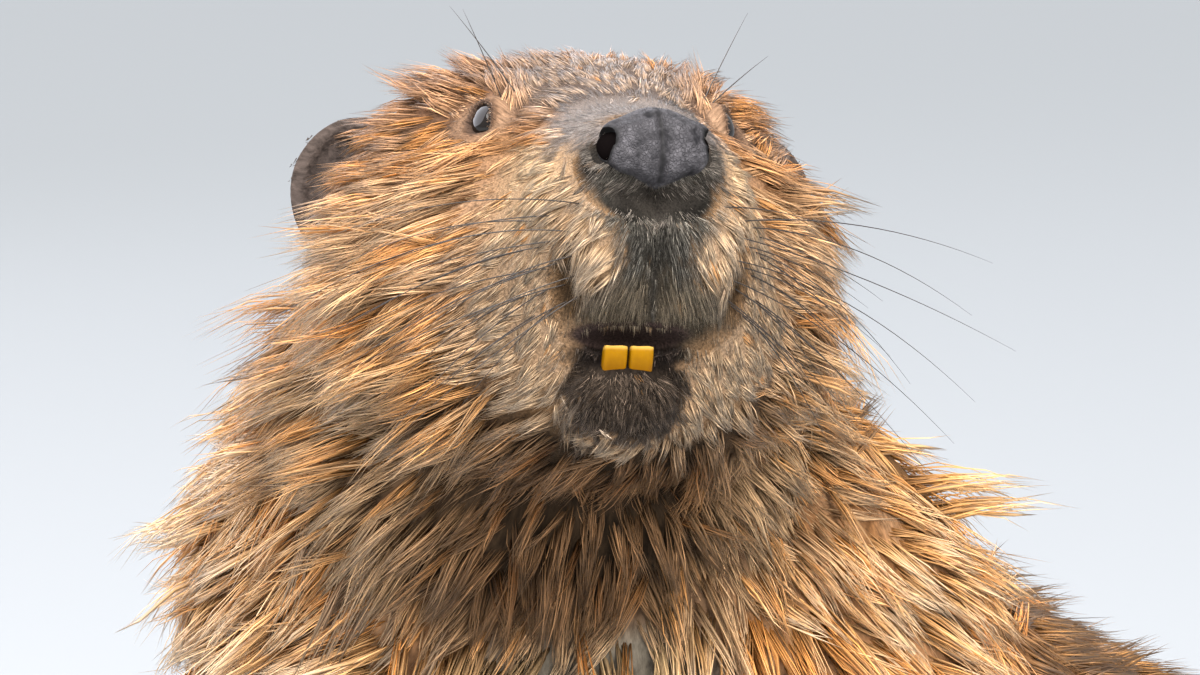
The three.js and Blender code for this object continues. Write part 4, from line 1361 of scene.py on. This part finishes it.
wetEye = eyePaint()
for name, side in sides:
    ball = headBall("eye", onSide(eye["at"], side), [eye["radius"]] * 3, steps=44, around=64)
    addPiece(f"eyeball_{name}", ball, wetEye, "eye", f"eye_{name}")


# a swelling beside the groove, a fold above it, a lobe at the lower corner, one below, the wing
nosePushes = [
    ((9, 6.5, 3), (7, 4.5, 5), (1.2, 0, 0)),
    ((7, 9, 10), (5, 5, 2.6), (-0.9, 0, -0.5)),
    ((6, 11.5, -5.5), (6, 3.6, 3.2), (1.1, 0.5, -1.5)),
    ((8, 4.5, -7.5), (6, 2.6, 2.6), (0.9, 0, -0.7)),
    ((2, 15, 7), (6, 4, 4), (0, 0.9, 0.6)),
]


def noseRings(c):
    # upright sections from side to side: a rounded box with a point below and a groove in front
    across = -np.cos(math.pi * np.arange(1, 150) / 150)[:, None]
    open_ = np.sqrt(1 - across**2) ** 0.62
    low = c["point"] + (c["side"] - c["point"]) * np.abs(across) ** 1.1
    turn = 2 * math.pi * np.arange(130) / 130
    f, u = bulge(np.cos(turn), 0.74), bulge(np.sin(turn), 0.74)
    upright = 1 - 0.30 * np.maximum(0, u) ** 2
    forward = (c["front"] + c["back"]) / 2 + f * (c["front"] - c["back"]) / 2 * open_ * upright
    crest = c["top"] - 4.5 * np.abs(across) ** 2
    up = (crest + low) / 2 + u * (crest - low) / 2 * open_
    groove = c["groove"] * np.exp(-(across * c["wide"] / 1.5) ** 2) * ease(-0.2, 0.5, f) \
        * (1 - ease(5, 10, up))
    p = np.stack([forward - groove, across * c["wide"] + 0 * up, up], -1)
    p = pushedOnSides(p, nosePushes)
    lumps = (0.7 * ripple(p, 4.2, 52) + 0.4 * ripple(p, 2.0, 53))[..., None]
    return p + np.array([0.5, 0, 0.28]) * lumps * ease(0, 5, p[..., :1])


def nosePadMesh(c):
    # the pad less its nostrils, with painted shade inside them, at their wings and along the groove
    p = noseRings(c)
    pad = headTube("nosePad", p)
    pad = combine(pad, [nostrilMesh(side, c) for side in (1, -1)], "DIFFERENCE")
    points = pointsOf(pad)
    h = toHead(points)
    # painted shade: how far into a nostril, or onto its wing, each point lies
    inside = np.zeros(len(points))
    for side in (1, -1):
        q = (h - onSide(c["nostril"], side)) @ nostrilTurn(side, c).T
        q[:, 2] -= c["nostrilBend"] * q[:, 0] ** 2 - 1
        inside = np.maximum(inside, 1 - ease(1.0, 1.3, np.linalg.norm(q / c["nostrilSize"], axis=1)))
    wing = 0.9 * ease(13.8, 15.6, np.abs(h[:, 1])) * (1 - ease(3.5, 7, h[:, 0])) * (h[:, 2] < 4)
    inside = np.maximum(inside, wing)
    # painted shade along the groove down the pad's front as well
    dark = np.maximum(inside, 0.75 * np.exp(-(h[:, 1] / 0.9) ** 2) * (h[:, 0] > 3))
    speckle = (0.5 + 0.4 * ripple(points, 5, 51) + 0.3 * ripple(points, 1.8, 54))[:, None]
    colour = mix(tone(24, 23, 26), tone(80, 78, 82), np.clip(speckle, 0, 1))
    colour = mix(colour, tone(7, 6, 6), dark[:, None])
    setColours(pad, "leather", colour)
    return pad


def leatherPaint(name, attribute, scale, depth, roughness):
    # leather grain: cells with dark seams over a fine noise
    m, nodes, links, shader = material(name)
    place = shadedColour(nodes, links, shader, attribute, scale * 0.5, 0.5, 1.45)
    shader.inputs["Roughness"].default_value = roughness
    shader.inputs["Specular IOR Level"].default_value = 0.22
    cells = addNode(nodes, "ShaderNodeTexVoronoi", feature="DISTANCE_TO_EDGE", Scale=scale)
    links.new(place.outputs["Object"], cells.inputs["Vector"])
    level = addNode(nodes, "ShaderNodeMapRange", From_Max=0.22, interpolation_type="SMOOTHSTEP")
    links.new(cells.outputs["Distance"], level.inputs["Value"])
    bump = bumpOf(nodes, links, shader, level.outputs["Result"], 1.0, depth)
    lit = addNode(nodes, "ShaderNodeMapRange", From_Min=0.01, From_Max=0.05)
    stored = addNode(nodes, "ShaderNodeAttribute", attribute_name=attribute)
    links.new(stored.outputs["Fac"], lit.inputs["Value"])
    links.new(lit.outputs["Result"], bump.inputs["Strength"])
    return m


addPiece("nosePad", nosePadMesh(nose), leatherPaint("noseLeather", "leather", 900.0, 0.0004, 0.66),
         "nose", "nose")

# painted shadow: a black plug without shine, set deep in each nostril where the hollow is in shade
nostrilShadowPaint, _, _, nostrilShadowShader = material("nostrilShadowPlug")
nostrilShadowShader.inputs["Base Color"].default_value = (0.004, 0.003, 0.003, 1)
nostrilShadowShader.inputs["Roughness"].default_value = 0.9
nostrilShadowShader.inputs["Specular IOR Level"].default_value = 0.0
for name, side in sides:
    addPiece(f"nostrilShadowPlug_{name}", nostrilMesh(side, nose, -0.3, 5.0), nostrilShadowPaint, "nose")

tooth = {"wide": 7.1, "thick": 4.6, "between": 0.7,
         "heights": (-77, -72, -67, -63, -59, -56.4, -55.6),
         "leans": (-33, -27.5, -22, -18.5, -15.8, -14.9, -14.8)}


def toothMesh(side, c):
    # a rounded oblong carried up a curve, thinning at the back to a chisel edge
    t = np.linspace(0, 1, 60)
    line = smoothLine(np.stack([c["leans"], c["heights"]], -1), t)
    turn = 2 * math.pi * np.arange(56) / 56
    f, s = bulge(np.cos(turn), 0.5), bulge(np.sin(turn), 0.35)
    shut = np.sqrt(np.clip(1 - ease(0.93, 1.0, t) * 0.55, 0, 1))[:, None]
    thin = (1 - 0.55 * ease(0.72, 1, t))[:, None]
    front = line[:, :1] + c["thick"] / 2
    forward = front - c["thick"] / 2 * (1 - f) * np.where(f < 0, thin, 1.0)
    aside = side * (c["between"] / 2 + c["wide"] / 2) + s * c["wide"] / 2 * (0.97 + 0.03 * shut) \
        + face["jawSwing"]
    up = line[:, 1:] + 0.1 * np.sin(5 * s) * ease(0.95, 1, t)[:, None] + 0 * f
    rings = np.stack([forward, aside, up], -1)
    mesh = headTube("tooth", rings)
    h = toHead(pointsOf(mesh))
    high = ease(-66, -56.5, h[:, 2])[:, None]
    streak = (0.5 + 0.5 * ripple(h * [0.2, 3, 0.2], 5, 61))[:, None]
    colour = mix(tone(102, 61, 0), tone(130, 91, 1), high * 0.8 + 0.2 * streak)
    # a painted highlight: the top edge paler
    colour = mix(colour, tone(206, 170, 90), ease(-57.0, -56.0, h[:, 2])[:, None] * 0.4)
    setColours(mesh, "enamelColour", colour)
    return mesh


def enamelPaint():
    # the stored amber, a little uneven
    m, nodes, links, shader = material("enamel")
    shadedColour(nodes, links, shader, "enamelColour", 700.0, 0.85, 1.1)
    shader.inputs["Roughness"].default_value = 0.28
    shader.inputs["Specular IOR Level"].default_value = 0.1
    return m


enamel = enamelPaint()
for name, side in sides:
    addPiece(f"lowerIncisor_{name}", toothMesh(side, tooth), enamel, "tooth", f"incisor_{name}")


def hornPaint():
    # a noise between two dark browns, which also raises the surface a little
    m, nodes, links, shader = material("clawHorn")
    place = addNode(nodes, "ShaderNodeTexCoord")
    noise = addNode(nodes, "ShaderNodeTexNoise", Scale=500.0, Detail=4.0)
    links.new(place.outputs["Object"], noise.inputs["Vector"])
    ramp = addNode(nodes, "ShaderNodeValToRGB")
    ramp.color_ramp.elements[0].color = (0.012, 0.009, 0.007, 1)
    ramp.color_ramp.elements[1].color = (0.055, 0.038, 0.026, 1)
    links.new(noise.outputs["Fac"], ramp.inputs["Fac"])
    links.new(ramp.outputs["Color"], shader.inputs["Base Color"])
    shader.inputs["Roughness"].default_value = 0.3
    bumpOf(nodes, links, shader, noise.outputs["Fac"], 0.3, 0.0004)
    return m


horn = hornPaint()


def clawMesh(toe, c):
    # a tapered hook from inside the toe's tip down to just above the floor
    thick, long, w = c["thick"], c["claw"], c["clawThick"]
    root = toe[2] - thick * 0.9
    at = [(0, 0.80, 1.0), (0.25, 0.96, 0.98), (0.55, 0.86, 0.8), (0.8, 0.6, 0.56), (1.0, 0.3, 0.2)]
    stations = [(*alongToe(toe, root + far * long, thick * up), w * wide * 0.8, w * wide, w * wide * 0.8, 0)
                for far, up, wide in at]
    return ovalGrid("claw", {"stations": stations, "steps": 30, "around": 18, "ends": (0.15, 0.1)})


for name, side in sides:
    for feet, toes in (("fore", foreToes), ("hind", hindToes)):
        for k, toe in enumerate(toeFan(toes, side)):
            addPiece(f"{feet}Nail_{name}_{k + 1}", clawMesh(toe, toes), horn, "claw",
                     f"{feet}_claw_{name}_{k + 1}")

paddle = {
    "stations": [(0, 300, 24, 30, 15, 22, 0.4), (0, 340, 14, 44, 12, 16, 0.4), (0, 400, 10, 61, 9, 12, 0.4),
                 (0, 470, 8, 65, 7.5, 10, 0.4), (0, 530, 6.5, 57, 6, 8.5, 0.4),
                 (0, 575, 5.5, 36, 4.5, 7, 0.4)],
    "steps": 280, "around": 220, "power": 0.9, "ends": (0.1, 0.16), "scale": (10.0, 7.4), "relief": 0.8,
}


def tailMesh(c):
    # the paddle, then a raised scale in every cell of a staggered lattice, 1 - max(|u|^2.5, |v|^2) in each
    rings, first, last = ovalRings(c)
    x, y = rings[..., 0] / c["scale"][0], rings[..., 1] / c["scale"][1]
    row = np.round(y)
    du, dv = np.abs(x - np.round(x - 0.5 * (row % 2)) - 0.5 * (row % 2)) * 2, np.abs(y - row) * 2
    edge = 1 - np.maximum(du**2.5, dv**2.0)
    scale = ease(0.0, 0.42, edge)
    upward = np.sign(rings[..., 2] - rings[..., 2].mean(1, keepdims=True))
    side = ease(0.0, 0.2, np.abs(rings[..., 2] - rings[..., 2].mean(1, keepdims=True)) / 4)
    reach = (1 - ease(0.0, 0.09, (345 - rings[..., 1]) / 300)) * side
    rings[..., 2] += upward * c["relief"] * (scale - 0.5) * reach * (rings[..., 2] > 0.8)
    rings[..., 2] = np.maximum(rings[..., 2], 0.0)
    mesh = closedGrid("tailSkin", rings, first, last)
    seam = np.append(((1 - scale) * reach).ravel(), [0, 0])[:, None]
    blotch = (0.5 + 0.5 * ripple(pointsOf(mesh), 40, 71))[:, None]
    colour = mix(tone(66, 60, 56), tone(92, 84, 78), blotch)
    setColours(mesh, "scaleColour", mix(colour, tone(36, 31, 29), seam))
    return mesh


addPiece("tailPaddle", tailMesh(paddle), leatherPaint("tailLeather", "scaleColour", 420.0, 0.0003, 0.5),
         "tail", "tail")

# rows of whiskers on each side, how many in a row, their shortest and longest, and their thickness
whiskers = {"rows": 5, "inRow": 4, "long": (60, 104), "thick": 0.42}


def whiskerTubes(c):
    # tapered tubes along root + long * (way * t - down * sag * t^2)
    own = np.random.default_rng(5)
    tubes = []
    turn = 2 * math.pi * np.arange(6) / 6
    t = np.linspace(0, 1, 16)[1:]
    for side in (1, -1):
        for row in range(c["rows"]):
            for k in range(c["inRow"]):
                root = onSide((-7.0 - 5.0 * k, 19 + 3.2 * k + 0.6 * row, -18 - 6.0 * row - 1.0 * k), side)
                way = onSide((-0.25 - 0.2 * k, 1.0, 0.12 - 0.16 * row), side)
                way = unit(way + own.normal(0, 0.10, 3))
                long = own.uniform(*c["long"]) * (1 - 0.08 * row) * (0.7 if own.random() < 0.3 else 1)
                tubes.append((root, way, long, own.uniform(0.12, 0.34)))
    brows = [((-52, 30, 30), (-0.05, 0.45, 0.9), 34), ((-56, 33, 30), (-0.2, 0.8, 0.75), 26),
             ((-50, -30, 30), (-0.1, -0.55, 0.85), 36), ((-54, -32, 30), (0.1, -0.4, 0.95), 30)]
    tubes += [(np.array(r, float), unit(np.array(w, float)), l, 0.06) for r, w, l in brows]
    meshes = []
    starts = skinPoints[nearest(fromHead(np.array([tube[0] for tube in tubes])), skinPoints)]
    for start, (root, way, long, sag) in zip(starts, tubes):
        down = np.array([0.0, 0, -1.0])
        path = start + long * (t[:, None] * (way @ headTurned) + down * sag * t[:, None] ** 2)
        path = np.vstack([start - (way @ headTurned) * 2, path])
        tangent = unit(np.gradient(path, axis=0))
        across = unit(np.cross(tangent, [0.3, 0.2, 1.0]))
        wide = c["thick"] / 2 * np.append(1.0, 1 - t**1.5 * 0.85)
        section = across[:, None] * np.cos(turn)[:, None] \
            + np.cross(tangent, across)[:, None] * np.sin(turn)[:, None]
        meshes.append(path[:, None] + section * wide[:, None, None])
    rows, around = meshes[0].shape[:2]
    points = np.concatenate([m.reshape(-1, 3) for m in meshes])
    quads = gridQuads(rows, around).reshape(-1, 4)
    fan = np.arange(1, around - 1)
    low = np.stack([0 * fan, fan + 1, fan], -1)
    high = np.stack([0 * fan, fan, fan + 1], -1) + (rows - 1) * around
    step = (np.arange(len(meshes)) * rows * around)[:, None, None]
    return newMesh("whiskers", points, (quads[None] + step).reshape(-1, 4),
                   (np.vstack([low, high])[None] + step).reshape(-1, 3))


def bristlePaint():
    # one dark brown
    m, nodes, links, shader = material("bristle")
    shader.inputs["Base Color"].default_value = (0.02, 0.014, 0.011, 1)
    shader.inputs["Roughness"].default_value = 0.35
    return m


addPiece("whiskers", whiskerTubes(whiskers), bristlePaint(), "coat")
print("face, feet and tail pieces made")


# Stage: floor, light and camera.


floorSize = 60.0
floorMesh = bpy.data.meshes.new("floor")
corners = [(x * floorSize, y * floorSize, 0) for x, y in ((-1, -1), (1, -1), (1, 1), (-1, 1))]
floorMesh.from_pydata(corners, [], [(0, 1, 2, 3)])
floor = newPiece("floor", floorMesh)
floorPaint, nodes, links, shader = material("floorPaint")
shader.inputs["Base Color"].default_value = (0.318, 0.337, 0.36, 1)
shader.inputs["Roughness"].default_value = 0.9
floorMesh.materials.append(floorPaint)
floor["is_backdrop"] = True

camera = {"azimuth": 20.0, "elevation": 6.0, "far": 3.5, "frame": 0.348,
          "noseAcross": 0.01595, "noseUp": 0.0544}


def aimCamera(c):
    # stands "far" from the nose along the view, moved so the nose lies off centre by noseAcross, noseUp
    a, e = math.radians(c["azimuth"]), math.radians(c["elevation"])
    back = np.array([math.sin(a) * math.cos(e), -math.cos(a) * math.cos(e), math.sin(e)])
    right = np.array([math.cos(a), math.sin(a), 0])
    up = np.cross(back, right)
    place = toFrame(noseAt) + back * c["far"] - right * c["noseAcross"] - up * c["noseUp"]
    lens = bpy.data.cameras.new("camera")
    lens.sensor_width = 36.0
    lens.lens = 36.0 * c["far"] / c["frame"]
    lens.clip_end = 200
    view = bpy.data.objects.new("camera", lens)
    view.location = place
    view.rotation_euler = (math.radians(90 - c["elevation"]), 0, a)
    bpy.context.scene.collection.objects.link(view)
    bpy.context.scene.camera = view


aimCamera(camera)

world = bpy.data.worlds.new("sky")
bpy.context.scene.world = world
world.use_nodes = True
world.node_tree.nodes["Background"].inputs["Color"].default_value = (0.94, 0.965, 1.0, 1)
world.node_tree.nodes["Background"].inputs["Strength"].default_value = 0.76


def softSun(name, tilt, turn, strength, spread, colour):
    # parallel light whose source is a disc "spread" degrees wide
    lamp = bpy.data.lights.new(name, "SUN")
    lamp.energy, lamp.angle, lamp.color = strength, math.radians(spread), colour
    light = bpy.data.objects.new(name, lamp)
    light.rotation_euler = (math.radians(tilt), 0, math.radians(turn))
    bpy.context.scene.collection.objects.link(light)


softSun("key", 36, 30, 3.7, 40, (1.0, 0.975, 0.94))


def softWindow(name, place, towards, size, power, colour):
    # an oval lamp, "size" wide and tall, that faces a point
    lamp = bpy.data.lights.new(name, "AREA")
    lamp.shape, lamp.size, lamp.size_y, lamp.energy, lamp.color = "ELLIPSE", *size, power, colour
    light = bpy.data.objects.new(name, lamp)
    aim = unit(np.array(towards, float) - place)
    light.location = place
    light.rotation_euler = (math.acos(-aim[2]), 0, math.atan2(-aim[0], aim[1]))
    bpy.context.scene.collection.objects.link(light)
    return light


# each lamp: where it stands, what it faces, its size, its power and colour, and what it is hidden from
lamps = {
    "window": ((-0.5, -2.3, 2.8), (0.08, -0.42, 0.34), (2.6, 2.6), 150, (1.0, 0.97, 0.93), ()),
    "fill": ((2.3, -1.7, 1.1), (0.1, -0.42, 0.3), (1.8, 1.8), 112, (1.0, 0.96, 0.9), ("glossy",)),
    "low": ((-1.7, -2.5, 0.35), (0.0, -0.33, 0.25), (1.8, 1.2), 36, (1.0, 0.95, 0.88), ("glossy",)),
    "sheen": (noseAt * 0.001 + 2.2 * (np.array([-0.52, -0.54, 0.66]) @ headTurned), noseAt * 0.001,
              (6.0, 3.2), 165, (0.93, 0.92, 1.0), ("camera", "diffuse")),
}
for name, (*lamp, hiddenFrom) in lamps.items():
    light = softWindow(name, *lamp)
    for ray in hiddenFrom:
        setattr(light, f"visible_{ray}", False)
bpy.context.scene.view_settings.view_transform = "Standard"

print("floor, camera and lights placed")

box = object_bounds()
corners = lambda b: [[float(v) for v in corner] for corner in b]
{"cad": corners(cadBox), "visual": corners(box)}
print("box:", corners(cadBox), corners(box))
